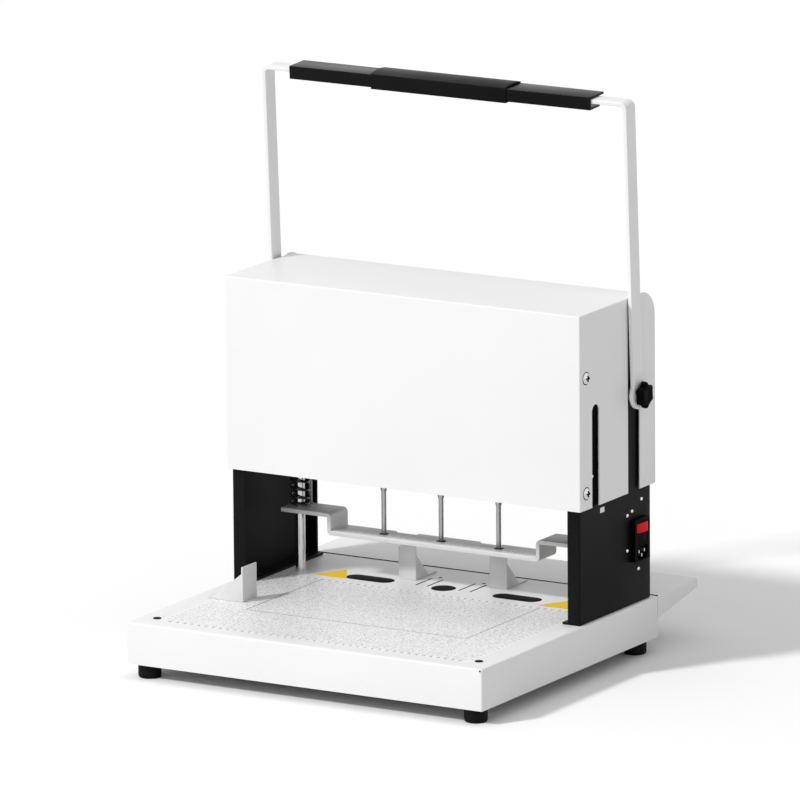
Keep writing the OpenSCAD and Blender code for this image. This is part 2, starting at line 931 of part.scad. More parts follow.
module top_beam() {
    color(dark)
        difference() {
            union() {
                block([-web_in, web_in], top_beam_y, [top_beam_z, top_beam_z + beam_t]);
                both_sides()
                    block([web_in - beam_t, web_in], top_beam_y,
                        [top_beam_z - beam_flange, top_beam_z + beam_t]);
            }
            at_rods()
                pin_z(rod_d + 2 * fit, top_beam_z - over, top_beam_z + beam_t + over);
            both_sides()
                for (y = beam_screw_y)
                    translate([0, y, beam_screw_z])
                        pin_x(beam_screw_d + 2 * fit, web_in - beam_t - over, web_in + over);
        }
}

module guide_rods() {
    color(steel)
        at_rods()
            pin_z(rod_d, beam_low_z - nut_h - 1, top_beam_z + beam_t + nut_h + 1);
}

module guide_rod_nuts() {
    color(zinc)
        at_rods()
            for (z = [beam_low_z - nut_h, top_beam_z + beam_t])
                difference() {
                    translate([0, 0, z])
                        cylinder(d = nut_d, h = nut_h, $fn = 6);
                    pin_z(rod_d + 2 * fit, z - over, z + nut_h + over);
                }
}

module shaft_bearings() {
    color(gray)
        translate([0, pivot_y, pivot_z])
            both_sides()
                difference() {
                    union() {
                        pin_x(bearing_d, web_in - over, web_out + bearing_out);
                        pin_x(bearing_flange_d, web_in - bearing_flange_t, web_in);
                    }
                    pin_x(shaft_d + 2 * fit, web_in - bearing_flange_t - over, web_out + 2 * over);
                }
}

// The inlet's bezel outline, round at its upper corners
module bezel_outline() {
    r = 5;
    y = [inlet_y - inlet_w / 2, inlet_y + inlet_w / 2];
    area(y, [inlet_z, inlet_z + inlet_h - r]);
    area([y[0] + r, y[1] - r], [inlet_z, inlet_z + inlet_h]);
    for (c = [y[0] + r, y[1] - r])
        translate([c, inlet_z + inlet_h - r])
            circle(r);
}

module socket_outline() {
    cut = 4;
    y0 = socket_y - socket_w / 2;
    y1 = socket_y + socket_w / 2;
    z1 = socket_z + socket_h;
    polygon([[y0 + cut, socket_z], [y1 - cut, socket_z], [y1, socket_z + cut], [y1, z1],
        [y0, z1], [y0, socket_z + cut]]);
}

// The middles of the three pins in the inlet
module at_inlet_pins() {
    for (p = [[-pin_spread, pin_up], [pin_spread, pin_up], [0, ground_pin_up]])
        translate([0, socket_y + p[0], socket_z + p[1]])
            children();
}

module power_inlet() {
    color(black)
        difference() {
            union() {
                along_x(web_out, bezel_x)
                    bezel_outline();
                block([web_out - inlet_in, web_out + over],
                    [inlet_y - inlet_w / 2 + inlet_lip, inlet_y + inlet_w / 2 - inlet_lip],
                    [inlet_z, inlet_z + inlet_h - inlet_lip]);
            }
            along_x(bezel_x - socket_depth, bezel_x + over)
                socket_outline();
            at_inlet_pins()
                block([bezel_x - socket_depth - pin_root - over, bezel_x],
                    [-pin_w / 2 - fit, pin_w / 2 + fit], [-pin_h / 2 - fit, pin_h / 2 + fit]);
            block([bezel_x - drawer_depth - gap, bezel_x + over],
                [inlet_y - drawer_w / 2 - fit, inlet_y + drawer_w / 2 + fit],
                [drawer_z - fit, drawer_z + drawer_h + fit]);
            block([rocker_x - rocker_well, bezel_x + over],
                [inlet_y - rocker_len / 2 - rocker_end_gap,
                    inlet_y + rocker_len / 2 + rocker_end_gap],
                [rocker_z - gap, rocker_z + rocker_h + gap]);
            translate([rocker_x, inlet_y, 0])
                pin_z(rocker_pin_d + 2 * fit, rocker_z - rocker_pin_len - gap,
                    rocker_z + rocker_h + rocker_pin_len + gap);
        }
}

module inlet_pins() {
    below_bezel = 1;
    color(zinc)
        at_inlet_pins()
            block([bezel_x - socket_depth - pin_root, bezel_x - below_bezel],
                [-pin_w / 2, pin_w / 2], [-pin_h / 2, pin_h / 2]);
}

module rocker_switch() {
    half = rocker_len / 2;
    edge_x = 3.6;
    shoulder_x = 4.6;
    crown_x = 4.9;
    back_x = -1.8;
    root_x = -3.4;
    taper = 0.5;
    color("firebrick")
        translate([rocker_x, inlet_y, 0])
            rotate([0, 0, -rocker_angle]) {
                translate([0, 0, rocker_z])
                    linear_extrude(rocker_h)
                        polygon([[edge_x, -half], [shoulder_x, -half / 2], [crown_x, 0],
                            [shoulder_x, half / 2], [edge_x, half], [back_x, half - taper],
                            [root_x, 0], [back_x, taper - half]]);
                pin_z(rocker_pin_d, rocker_z - rocker_pin_len, rocker_z + rocker_h + rocker_pin_len);
            }
}

module fuse_drawer() {
    wall = 2;
    bottom = 3;
    front = 3.7;
    color(dark)
        difference() {
            block([bezel_x - drawer_depth, bezel_x - gap],
                [inlet_y - drawer_w / 2, inlet_y + drawer_w / 2], [drawer_z, drawer_z + drawer_h]);
            block([bezel_x - drawer_depth + bottom, bezel_x - gap - front],
                [inlet_y - drawer_w / 2 + wall, inlet_y + drawer_w / 2 - wall],
                [drawer_z + bottom, drawer_z + drawer_h + over]);
        }
}

module control_board() {
    board_t = 1.6;
    standoff = 8;
    standoff_d = 5;
    edge = 4;
    half = 55;
    depth = 32.5;
    relay = 30;
    relay_h = 12;
    z = top_beam_z - standoff;
    y = [top_beam_y[0] + edge, top_beam_y[0] + edge + depth];
    color("darkgreen") {
        block([-half, half], y, [z - board_t, z]);
        for (x = [edge - half, half - edge])
            for (sy = [y[0] + edge, y[1] - edge])
                translate([x, sy, 0])
                    pin_z(standoff_d, z - over, top_beam_z);
        for (x = [-relay - edge, edge])
            block([x, x + relay], [y[0] + 2 * edge, y[1] - 2 * edge],
                [z - board_t - relay_h, z - board_t]);
    }
}

// Cuts the open-bottom slot in a side of the front cover
module side_slot() {
    y = drill_y - side_slot_front;
    r = side_slot_w / 2;
    along_x(cover_in - over, half_w + over) {
        area([y - r, y + r], [cover_z - over, cover_z + side_slot_h - r]);
        translate([y, cover_z + side_slot_h - r])
            circle(r);
    }
}

module front_cover() {
    tongue = cover_in - gap;
    color(white)
        difference() {
            union() {
                block([-half_w, half_w], [cover_y0, cover_y0 + cover_sheet],
                    [cover_z, cover_top_z]);
                block([-half_w, half_w], [cover_y0, cover_y1],
                    [cover_top_z - cover_sheet, cover_top_z]);
                block([-tongue, tongue], [cover_y0, cover_y1 + cover_tongue],
                    [cover_top_z - cover_sheet, cover_top_z]);
                both_sides()
                    block([cover_in, half_w], [cover_y0, cover_y1], [cover_z, cover_top_z]);
            }
            both_sides() {
                side_slot();
                for (z = cover_screw_z)
                    translate([0, cover_screw_y, z])
                        pin_x(cover_screw_d + 2 * fit, cover_in - over, half_w + over);
            }
        }
}

module rear_flange_outline() {
    area([rear_y0, rear_y1], [cover_z, roll_z]);
    area([rear_y0, roll_y], [cover_z, rear_top_z]);
    intersection() {
        translate([roll_y, roll_z])
            circle(rear_roll);
        area([roll_y - over, rear_y1], [roll_z - over, rear_top_z]);
    }
}

module rear_panel_outline() {
    y1 = rear_y1 - rear_proud;
    z1 = rear_top_z - rear_proud;
    area([y1 - cover_sheet, y1], [cover_z, roll_z]);
    bend([roll_y, roll_z], panel_r, panel_r - cover_sheet, 1, 1);
    area([roll_y - rear_lip, roll_y], [z1 - cover_sheet, z1]);
}

module rear_cover() {
    color(white)
        difference() {
            union() {
                both_sides()
                    along_x(cover_in, half_w)
                        rear_flange_outline();
                along_x(-cover_in - cover_sheet / 2, cover_in + cover_sheet / 2)
                    rear_panel_outline();
            }
            both_sides()
                for (z = rear_screw_z)
                    translate([rear_screw_x, 0, z])
                        pin_y(cover_screw_d + 2 * fit, col_y1, rear_y1);
        }
}

// A washer-head screw along +X with its seat at zero, cross recess in its head
module cover_screw(reach) {
    head_x = 1.5;
    head_d = 9;
    washer_t = 0.6;
    recess = 0.7;
    recess_half = 2.4;
    recess_w = 1;
    difference() {
        union() {
            pin_x(washer_d, 0, washer_t);
            pin_x(head_d, 0, head_x);
        }
        for (a = [0, 90])
            rotate([a, 0, 0])
                block([head_x - recess, head_x + over], [-recess_half, recess_half],
                    [-recess_w / 2, recess_w / 2]);
    }
    pin_x(cover_screw_d, -reach, washer_t / 2);
}

module cover_screws() {
    panel_y = rear_y1 - rear_proud;
    screw_end = 2;
    color(steel)
        both_sides() {
            for (z = cover_screw_z)
                translate([half_w, cover_screw_y, z])
                    cover_screw(half_w - web_in + screw_end);
            for (z = rear_screw_z)
                translate([rear_screw_x, panel_y, z])
                    rotate([0, 0, 90])
                        cover_screw(panel_y - col_y1 + col_sheet + screw_end);
        }
}

module cover_spacers() {
    spacer_d = 12;
    color(zinc)
        both_sides()
            for (z = cover_screw_z)
                translate([0, cover_screw_y, z])
                    difference() {
                        pin_x(spacer_d, web_out, cover_in);
                        pin_x(cover_screw_d + 2 * fit, web_out - over, cover_in + over);
                    }
}

module table_plugs() {
    head_h = 0.8;
    stem = 5;
    color(dark)
        both_sides()
            translate([half_w - plug_side, front_y + plug_front, 0]) {
                pin_z(plug_d, table_z, table_z + head_h);
                pin_z(plug_stem_d, table_z - stem, table_z + head_h / 2);
            }
}

module carriage_plate() {
    color(gray)
        difference() {
            block([-plate_half, plate_half], plate_y, [plate_z, plate_top_z]);
            for (x = drill_xs)
                translate([x, drill_y, 0])
                    pin_z(nose_d + 2 * fit, plate_z - over, plate_top_z + over);
            at_rods()
                pin_z(bush_d + 2 * fit, plate_z - over, plate_top_z + over);
            both_sides()
                translate([hanger_x, hanger_y, 0])
                    pin_z(hanger_d + 2 * fit, plate_z - over, plate_top_z + over);
        }
}

module guide_bushes() {
    color(zinc)
        at_rods()
            difference() {
                union() {
                    pin_z(bush_flange, bush_low_z, plate_z);
                    pin_z(bush_d, plate_z - over, plate_top_z + bush_up);
                }
                pin_z(rod_d + 2 * fit, bush_low_z - over, plate_top_z + bush_up + over);
            }
}

tooth_pitch = PI * gear_m;
backlash = 0.12;
pressure = 20;
rack_line_y = pivot_y - pitch_r;
rack_back = 9.5;
rack_half = tooth_pitch / 4 - backlash / 2;
rack_low = 1.25 * gear_m;
rack_h = pivot_z + drill_gap + rack_spare - plate_top_z;
rack_end = 3;
rack_first = ceil((plate_top_z + rack_end - pivot_z) / tooth_pitch - 0.5);
rack_last = floor((plate_top_z + rack_h - rack_end - pivot_z) / tooth_pitch - 0.5);

module rack_outline() {
    wide = rack_half + rack_low * tan(pressure);
    slim = rack_half - gear_m * tan(pressure);
    root_y = rack_line_y - rack_low;
    area([root_y - rack_back, root_y], [plate_top_z, plate_top_z + rack_h]);
    for (k = [rack_first:rack_last])
        translate([0, pivot_z + (k + 0.5) * tooth_pitch])
            polygon([[root_y - fit, -wide], [root_y, -wide], [rack_line_y + gear_m, -slim],
                [rack_line_y + gear_m, slim], [root_y, wide], [root_y - fit, wide]]);
}

module racks() {
    color(gray)
        both_sides()
            along_x(pinion_x - rack_w / 2, pinion_x + rack_w / 2)
                rack_outline();
}

module motor(x) {
    cap_h = 8;
    color(dark)
        translate([x, drill_y, 0])
            difference() {
                union() {
                    pin_z(motor_d, plate_top_z, plate_top_z + motor_h - cap_h);
                    pin_z(motor_d - cap_h, plate_top_z, plate_top_z + motor_h);
                    pin_z(nose_d, plate_z - nose_h, plate_top_z + over);
                }
                pin_z(spindle_d + 2 * fit, plate_z - nose_h - over,
                    chuck_z + chuck_h + spindle_up + gap);
            }
}

module motor_left() {
    motor(drill_xs[0]);
}

module motor_center() {
    motor(drill_xs[1]);
}

module motor_right() {
    motor(drill_xs[2]);
}

module return_spring(x) {
    wall = 3;
    front = 16.5;
    color(dark)
        translate([x, drill_y - front, 0])
            difference() {
                pin_z(return_d, plate_top_z, top_beam_z);
                pin_z(return_d - 2 * wall, plate_top_z - over, top_beam_z + over);
            }
}

module return_spring_left() {
    return_spring(-return_x);
}

module return_spring_right() {
    return_spring(return_x);
}

// The press plate's bent section, right half
module press_outline() {
    r_in = press_bend - press_t;
    inner = press_half - press_t;
    area([0, press_half - press_bend], [press_z, press_z + press_t]);
    bend([press_half - press_bend, press_z + press_bend], press_bend, r_in, 1, -1);
    area([inner, press_half], [press_z + press_bend, press_top_z - press_bend]);
    bend([inner + press_bend, press_top_z - press_bend], press_bend, r_in, -1, 1);
    area([inner + press_bend, ear_half], [ear_z, press_top_z]);
}

module press_plate() {
    color([0.8, 0.81, 0.83])
        difference() {
            both_sides()
                along_y(press_y[0], press_y[1])
                    press_outline();
            for (x = drill_xs)
                translate([x, drill_y, 0])
                    pin_z(press_bush_d + 2 * fit, press_z - over, press_z + press_t + over);
            for (x = [-notch_x, notch_x])
                translate([x - notch_w / 2, press_y[1] - notch_depth, press_z - over])
                    cube([notch_w, notch_depth + over, press_t + 2 * over]);
            at_rods()
                pin_z(rod_d + 2 * fit, ear_z - over, press_top_z + over);
            both_sides()
                translate([hanger_x, hanger_y, 0])
                    pin_z(hanger_d + 2 * fit, ear_z - over, press_top_z + over);
        }
}

module press_bushes() {
    color(black)
        for (x = drill_xs)
            translate([x, drill_y, 0])
                difference() {
                    pin_z(press_bush_d, press_z, press_z + press_t);
                    pin_z(drill_d + 2 * gap, press_z - over, press_z + press_t + over);
                }
}

module scale_strip() {
    half = press_half - press_bend;
    edge = 0.5;
    y = press_y[0] + edge;
    z = press_z + press_t;
    color("white")
        block([-half, half], [y, y + strip_w], [z, z + strip_t]);
}

module hanger_rods() {
    color(gray)
        both_sides()
            translate([hanger_x, hanger_y, 0]) {
                pin_z(hanger_d, ear_z, plate_top_z + gap + hanger_nut_h + 1);
                translate([0, 0, plate_top_z + gap])
                    cylinder(d = hanger_nut_d, h = hanger_nut_h, $fn = 6);
            }
}

spring_r = (spring_d - wire_d) / 2;
spring_z0 = press_top_z + gap;
spring_z1 = bush_low_z - gap;
coil_end = 1.2 * wire_d;
coil_z0 = spring_z0 + coil_end;
coil_z1 = spring_z1 - coil_end;
spring_turns = (coil_z1 - coil_z0) / spring_pitch;
rings_per_turn = 8;
wire_sides = 6;
ring_count = ceil(spring_turns * rings_per_turn);

// Angle, place and direction of a press spring's wire at one ring
function coil_angle(i) = full_turn * spring_turns * i / ring_count;
function coil_z(i) = coil_z0 + (coil_z1 - coil_z0) * i / ring_count;
function wire_place(a, z) = [spring_r * cos(a), spring_r * sin(a), z];
function along_coil(a) =
    let (run = 2 * PI * spring_r, len = sqrt(run * run + spring_pitch * spring_pitch))
    [-sin(a) * run / len, cos(a) * run / len, spring_pitch / len];
function unit(v) = v / norm(v);

// Each ring of the wire: angle, place and direction, with straight ends
function wire_rings() =
    let (last = coil_angle(ring_count), up = [0, 0, 1])
    concat(
        [[0, wire_place(0, spring_z0), up]],
        [for (i = [0:ring_count])
            let (a = coil_angle(i), end = i == 0 || i == ring_count, t = along_coil(a))
            [a, wire_place(a, coil_z(i)), end ? unit(t + up) : t]],
        [[last, wire_place(last, spring_z1), up]]
    );

function ring_points(ring) =
    let (a = ring[0], side = [cos(a), sin(a), 0], other = cross(ring[2], side))
    [for (k = [0:wire_sides - 1])
        let (b = full_turn * k / wire_sides)
        ring[1] + wire_d / 2 * (cos(b) * side + sin(b) * other)];

// The two triangles between corner k of ring i and the next ones
function wall(i, k) =
    let (a = i * wire_sides + k, b = i * wire_sides + (k + 1) % wire_sides)
    [[a, b, b + wire_sides], [a, b + wire_sides, a + wire_sides]];

// The least space between two turns, over rings at least half a turn apart
function least_gap(rings) =
    min([for (i = [0:len(rings) - 1])
        for (j = [i + rings_per_turn / 2:1:len(rings) - 1])
            norm(rings[i][1] - rings[j][1])]) - wire_d;

module press_spring(x) {
    rings = wire_rings();
    count = len(rings);
    points = [for (ring = rings) each ring_points(ring)];
    walls = [for (i = [0:count - 2]) for (k = [0:wire_sides - 1]) each wall(i, k)];
    first = [for (k = [1:wire_sides - 2]) [0, k + 1, k]];
    top = (count - 1) * wire_sides;
    last = [for (k = [1:wire_sides - 2]) [top, top + k, top + k + 1]];
    echo(least_spring_gap = least_gap(rings));
    color(dark)
        translate([x, drill_y, 0])
            mirror([0, 1, 0])
                polyhedron(points = points, faces = concat(walls, first, last));
}

module press_spring_left() {
    press_spring(-rod_x);
}

module press_spring_right() {
    press_spring(rod_x);
}

module spindle(x) {
    z1 = chuck_z + chuck_h;
    taper = 5;
    nose = 4;
    color(steel)
        translate([x, drill_y, 0])
            difference() {
                union() {
                    translate([0, 0, chuck_z])
                        cylinder(d1 = chuck_d - 2 * nose, d2 = chuck_d, h = taper);
                    pin_z(chuck_d, chuck_z + taper, z1);
                    pin_z(spindle_d, z1 - over, z1 + spindle_up);
                }
                pin_z(shank_d + 2 * fit, chuck_z - over, chuck_z + chuck_bore_depth);
            }
}

module spindle_left() {
    spindle(drill_xs[0]);
}

module spindle_center() {
    spindle(drill_xs[1]);
}

module spindle_right() {
    spindle(drill_xs[2]);
}

module drill_bit(x) {
    z1 = chuck_z + chuck_bore_depth - gap;
    color(steel)
        translate([x, drill_y, 0])
            difference() {
                union() {
                    pin_z(drill_d, tip_z, z1);
                    pin_z(shank_d, chuck_z - shank_drop, z1);
                }
                pin_z(drill_bore, tip_z - over, z1 + over);
            }
}

module drill_bit_left() {
    drill_bit(drill_xs[0]);
}

module drill_bit_center() {
    drill_bit(drill_xs[1]);
}

module drill_bit_right() {
    drill_bit(drill_xs[2]);
}

// What rides on the lever: its pivot at the origin and its bar along +Z
module on_lever() {
    translate([0, pivot_y, pivot_z])
        rotate([lean, 0, 0])
            children();
}

// The lever's frame, moved to the middle of its bar
module on_bar() {
    on_lever()
        translate([0, -bar_front, 0])
            children();
}

module lever_arch(half, top, r) {
    area([-half, half], [0, top - r]);
    area([r - half, half - r], [0, top]);
    for (x = [r - half, half - r])
        translate([x, top - r])
            circle(r);
}

module handle_frame() {
    color(gray)
        on_lever()
            difference() {
                union() {
                    along_y(-lever_w / 2 - bar_front, lever_w / 2 - bar_front)
                        difference() {
                            lever_arch(arm_out, lever_len, lever_bend);
                            lever_arch(arm_in, lever_len - lever_t, lever_bend - lever_t);
                        }
                    both_sides()
                        pin_x(2 * eye_r, arm_in, arm_out);
                }
                both_sides()
                    pin_x(arm_pin_d + 2 * fit, arm_in - over, arm_out + over);
            }
}

grip_top = lever_len + gap + grip_wall;
grip_low = grip_top - grip_h;

module grip_channel() {
    color(black)
        on_bar()
            along_x(grip_shift - grip_len / 2, grip_shift + grip_len / 2) {
                area([-grip_front, grip_wall - grip_front], [grip_low, grip_top]);
                area([-grip_front, grip_back], [grip_top - grip_wall, grip_top]);
                area([-grip_front, grip_lower], [grip_low, grip_low + grip_wall]);
            }
}

module grip_sleeve() {
    y = [-grip_front - gap / 2, grip_back + gap / 2];
    z = [grip_low - gap / 2, grip_top + gap / 2];
    shoulder = 0.5;
    top = z[1] + sleeve_wall;
    half = (y[1] - y[0]) / 2 + sleeve_wall;
    dome_r = (half * half + sleeve_dome * sleeve_dome) / (2 * sleeve_dome);
    mid = (y[0] + y[1]) / 2;
    color(dark)
        on_bar()
            along_x(grip_shift - sleeve_len / 2, grip_shift + sleeve_len / 2)
                difference() {
                    union() {
                        area([mid - half, mid + half], [z[0] - sleeve_wall, top - shoulder]);
                        intersection() {
                            translate([mid, top + sleeve_dome - shoulder - dome_r])
                                circle(dome_r);
                            area([mid - half, mid + half], [z[1], top + sleeve_dome]);
                        }
                    }
                    area(y, z);
                }
}

module cross_shaft() {
    color(steel)
        on_lever() {
            pin_x(shaft_d, -arm_in, arm_in);
            pin_x(arm_pin_d, -arm_out, arm_out);
            pin_x(stud_d, -arm_out - stud_len, arm_out + stud_len);
        }
}

// The involute's roll-off angle at the angle a
function involute(a) = tan(a) * 180 / PI - a;

base_r = pitch_r * cos(pressure);
outer_r = pitch_r + gear_m;
root_r = pitch_r - 1.25 * gear_m;
half_tooth = 90 / pinion_teeth - backlash / 2 / pitch_r * 180 / PI;
flank_steps = 3;

function flank_angle(r) = half_tooth + involute(pressure) - involute(acos(base_r / r));
function flank_r(i) = base_r + (outer_r - base_r) * i / flank_steps;
function polar(r, a) = [r * cos(a), r * sin(a)];

function tooth(mid) = concat(
    [polar(root_r, mid - flank_angle(base_r))],
    [for (i = [0:flank_steps]) polar(flank_r(i), mid - flank_angle(flank_r(i)))],
    [for (i = [flank_steps:-1:0]) polar(flank_r(i), mid + flank_angle(flank_r(i)))],
    [polar(root_r, mid + flank_angle(base_r))]
);

// The right pinion; a tooth points at the rack
module pinion() {
    gear_w = rack_w + 2;
    hub_w = 8;
    hub_d = shaft_d + 12;
    color(steel)
        translate([0, pivot_y, pivot_z])
            difference() {
                union() {
                    along_x(pinion_x - gear_w / 2, pinion_x + gear_w / 2)
                        polygon([for (k = [0:pinion_teeth - 1])
                            each tooth(full_turn / 2 + full_turn * k / pinion_teeth)]);
                    pin_x(hub_d, pinion_x, pinion_x + gear_w / 2 + hub_w);
                }
                pin_x(shaft_d + 2 * fit, pinion_x - gear_w, pinion_x + gear_w + hub_w);
            }
}

module pinion_left() {
    mirror([1, 0, 0])
        pinion();
}

module pinion_right() {
    pinion();
}

module star_knob() {
    neck_x = arm_out + gap;
    x0 = neck_x + knob_neck;
    neck_d = 18;
    lobe_root = 4;
    lobe_d = (knob_d - knob_core) / 2 + lobe_root;
    color(black)
        on_lever()
            difference() {
                union() {
                    pin_x(neck_d, neck_x, x0 + over);
                    pin_x(knob_core, x0, x0 + knob_t);
                    for (k = [0:knob_lobes - 1])
                        rotate([full_turn * k / knob_lobes, 0, 0])
                            translate([0, 0, (knob_d - lobe_d) / 2])
                                pin_x(lobe_d, x0, x0 + knob_t);
                }
                pin_x(stud_d + 2 * fit, neck_x - over, arm_out + stud_len + gap);
            }
}

module star_knob_left() {
    mirror([1, 0, 0])
        star_knob();
}

module star_knob_right() {
    star_knob();
}

base_shell();
bottom_plate();
rear_deck();
rubber_feet();
foot_screws();
work_beam();
drill_pad_left();
drill_pad_center();
drill_pad_right();
rear_stop_left();
rear_stop_right();
stop_screws();
side_stop();
side_stop_magnet();
left_column();
right_column();
column_foot_screws();
frame_screws();
top_beam();
guide_rods();
guide_rod_nuts();
shaft_bearings();
power_inlet();
inlet_pins();
rocker_switch();
fuse_drawer();
control_board();
front_cover();
rear_cover();
cover_screws();
cover_spacers();
table_plugs();
carriage_plate();
guide_bushes();
racks();
motor_left();
motor_center();
motor_right();
return_spring_left();
return_spring_right();
press_plate();
press_bushes();
scale_strip();
hanger_rods();
press_spring_left();
press_spring_right();
spindle_left();
spindle_center();
spindle_right();
drill_bit_left();
drill_bit_center();
drill_bit_right();
handle_frame();
grip_channel();
grip_sleeve();
cross_shaft();
pinion_left();
pinion_right();
star_knob_left();
star_knob_right();
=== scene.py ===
import json
import math

import bmesh
import bpy
from mathutils import Matrix, Vector
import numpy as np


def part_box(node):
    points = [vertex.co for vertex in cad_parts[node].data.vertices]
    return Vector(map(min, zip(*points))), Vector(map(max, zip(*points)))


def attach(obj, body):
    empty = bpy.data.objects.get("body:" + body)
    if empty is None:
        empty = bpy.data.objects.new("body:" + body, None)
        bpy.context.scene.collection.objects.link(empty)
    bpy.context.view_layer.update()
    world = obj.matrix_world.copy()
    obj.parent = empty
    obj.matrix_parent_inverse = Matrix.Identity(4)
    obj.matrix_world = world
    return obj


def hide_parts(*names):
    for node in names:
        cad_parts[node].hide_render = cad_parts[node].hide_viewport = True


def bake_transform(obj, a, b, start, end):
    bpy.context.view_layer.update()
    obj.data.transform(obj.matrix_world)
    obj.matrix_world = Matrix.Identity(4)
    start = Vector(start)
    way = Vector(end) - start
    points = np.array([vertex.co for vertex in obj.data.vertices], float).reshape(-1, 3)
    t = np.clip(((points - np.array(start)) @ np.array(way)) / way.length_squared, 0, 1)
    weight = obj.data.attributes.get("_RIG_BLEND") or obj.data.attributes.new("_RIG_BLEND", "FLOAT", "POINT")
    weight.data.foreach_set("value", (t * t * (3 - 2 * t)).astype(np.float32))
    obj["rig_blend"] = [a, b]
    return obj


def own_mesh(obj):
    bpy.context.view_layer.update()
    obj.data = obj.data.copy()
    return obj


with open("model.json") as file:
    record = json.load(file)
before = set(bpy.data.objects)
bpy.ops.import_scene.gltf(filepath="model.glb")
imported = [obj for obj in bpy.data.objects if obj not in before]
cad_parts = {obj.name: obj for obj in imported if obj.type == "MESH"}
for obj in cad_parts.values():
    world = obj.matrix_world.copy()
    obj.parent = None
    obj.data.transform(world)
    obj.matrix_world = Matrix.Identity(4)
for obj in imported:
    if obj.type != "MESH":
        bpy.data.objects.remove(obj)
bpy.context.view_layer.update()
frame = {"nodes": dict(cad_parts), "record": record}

MM = 0.001
NODES = frame["nodes"]
BODY = {n: b for b, ns in frame["record"]["behaviour"]["bodies"].items() for n in ns}

# The photograph's camera, in metres and degrees
AZIMUTH = 30.65
ELEVATION = 12.62
ROLL = -0.45
DISTANCE = 13.765
TARGET = (0.0, -0.109, 0.252)
SIDE_STEP = 0.04106
UP_STEP = 0.08236
FOCAL_MM = 521.2
SENSOR_MM = 36.0
CLIP_START = 0.1
CLIP_END = 120.0

# The light, and the way it travels
KEY_TRAVEL = (0.58, 1.0, -1.0)
KEY_STRENGTH = 1.94
KEY_ANGLE = 7.0
KEY_PLACE = (-2.0, -3.0, 3.0)
SKY_STRENGTH = 0.63
SKY_SLOPE = (-0.07, -0.06, -0.04)
FLOOR_SIZE = 80.0
FLOOR_SEEN = (1.0, 1.0, 1.0)
FLOOR_BOUNCE = (0.75, 0.75, 0.75)
FLOOR_DRIFT = 0.997

# Tolerances, in metres and degrees
WELD = 1e-6
ON_SIDE = 1e-5
FLAT_ANGLE = 0.4
SMOOTH_ANGLE = 35.0
SHARP_ANGLE = 50.0

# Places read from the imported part, in metres
BASE_LO, BASE_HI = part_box("base_shell")
TABLE_Z = BASE_HI.z
HEAD_LO, HEAD_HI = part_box("front_cover")
WEB_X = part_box("right_column")[1].x
DRILL_Y = sum(p.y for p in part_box("spindle_center")) / 2
HALF_W = BASE_HI.x


# ---------------------------------------------------------------- materials


def add(tree, kind, inputs, **settings):
    """A shader node with its settings; an input is a value or another node's output."""
    node = tree.nodes.new("ShaderNode" + kind)
    for key, value in settings.items():
        setattr(node, key, value)
    for key, value in inputs.items():
        if isinstance(value, bpy.types.NodeSocket):
            tree.links.new(value, node.inputs[key])
        else:
            node.inputs[key].default_value = value
    return node


def calc(tree, operation, *values):
    """The result of a Math node."""
    return add(tree, "Math", dict(enumerate(values)), operation=operation).outputs[0]


def place_of(tree):
    """The point of the surface at rest, in metres."""
    return add(tree, "TexCoord", {}).outputs["Object"]


def noise(tree, place, scale, detail=2.0, stretch=None):
    """A cloudy value between 0 and 1, its grain finer as the scale grows."""
    if stretch:
        place = add(tree, "Mapping", {"Vector": place, "Scale": stretch}).outputs[0]
    node = add(tree, "TexNoise", {"Vector": place, "Scale": scale, "Detail": detail})
    return node.outputs["Fac"]


def spread(tree, value, low, high, start=0.3, end=0.7):
    """A value from low to high as another goes from start to end."""
    inputs = {"Value": value, "From Min": start, "From Max": end, "To Min": low, "To Max": high}
    return add(tree, "MapRange", inputs).outputs["Result"]


def mix(tree, factor, first, second):
    """A colour between two others, each a tuple or an output."""
    node = tree.nodes.new("ShaderNodeMix")
    node.data_type = "RGBA"
    for index, value in ((0, factor), (6, first), (7, second)):
        if isinstance(value, bpy.types.NodeSocket):
            tree.links.new(value, node.inputs[index])
        elif index == 0:
            node.inputs[0].default_value = value
        else:
            node.inputs[index].default_value = (*value, 1.0)
    return node.outputs[2]


def shade(color, amount):
    """A colour made lighter or darker."""
    return tuple(min(1.0, c * amount) for c in color)


def start_material(name, metallic=0.0, specular=0.5):
    """A new material, its node tree and its shader."""
    mat = bpy.data.materials.new(name)
    mat.use_nodes = True
    shader = mat.node_tree.nodes["Principled BSDF"]
    shader.inputs["Metallic"].default_value = metallic
    shader.inputs["Specular IOR Level"].default_value = specular
    return mat, mat.node_tree, shader


def bump(tree, shader, height, strength, distance):
    """Adds a raised pattern, over any that the shader already has."""
    inputs = {"Height": height, "Strength": strength, "Distance": distance}
    node = add(tree, "Bump", inputs)
    before = shader.inputs["Normal"].links
    if before:
        tree.links.new(before[0].from_socket, node.inputs["Normal"])
    tree.links.new(node.outputs["Normal"], shader.inputs["Normal"])


def finish(name, color, rough, drift=0.03, rough_drift=0.05, patch=9.0, grain=900.0,
           depth=0.00004, strength=0.25, stretch=None, **more):
    """A finish with patches of slightly different colour and gloss, and a fine grain."""
    mat, tree, shader = start_material(name, **more)
    place = place_of(tree)
    patches = noise(tree, place, patch, 3.0, stretch)
    fine = noise(tree, place, grain, 2.0, stretch)
    low, high = shade(color, 1 - drift), shade(color, 1 + drift)
    blend = spread(tree, patches, 0.0, 1.0)
    tree.links.new(mix(tree, blend, low, high), shader.inputs["Base Color"])
    gloss = spread(tree, patches, rough - rough_drift, rough + rough_drift)
    tree.links.new(gloss, shader.inputs["Roughness"])
    bump(tree, shader, fine, strength, depth)
    return mat


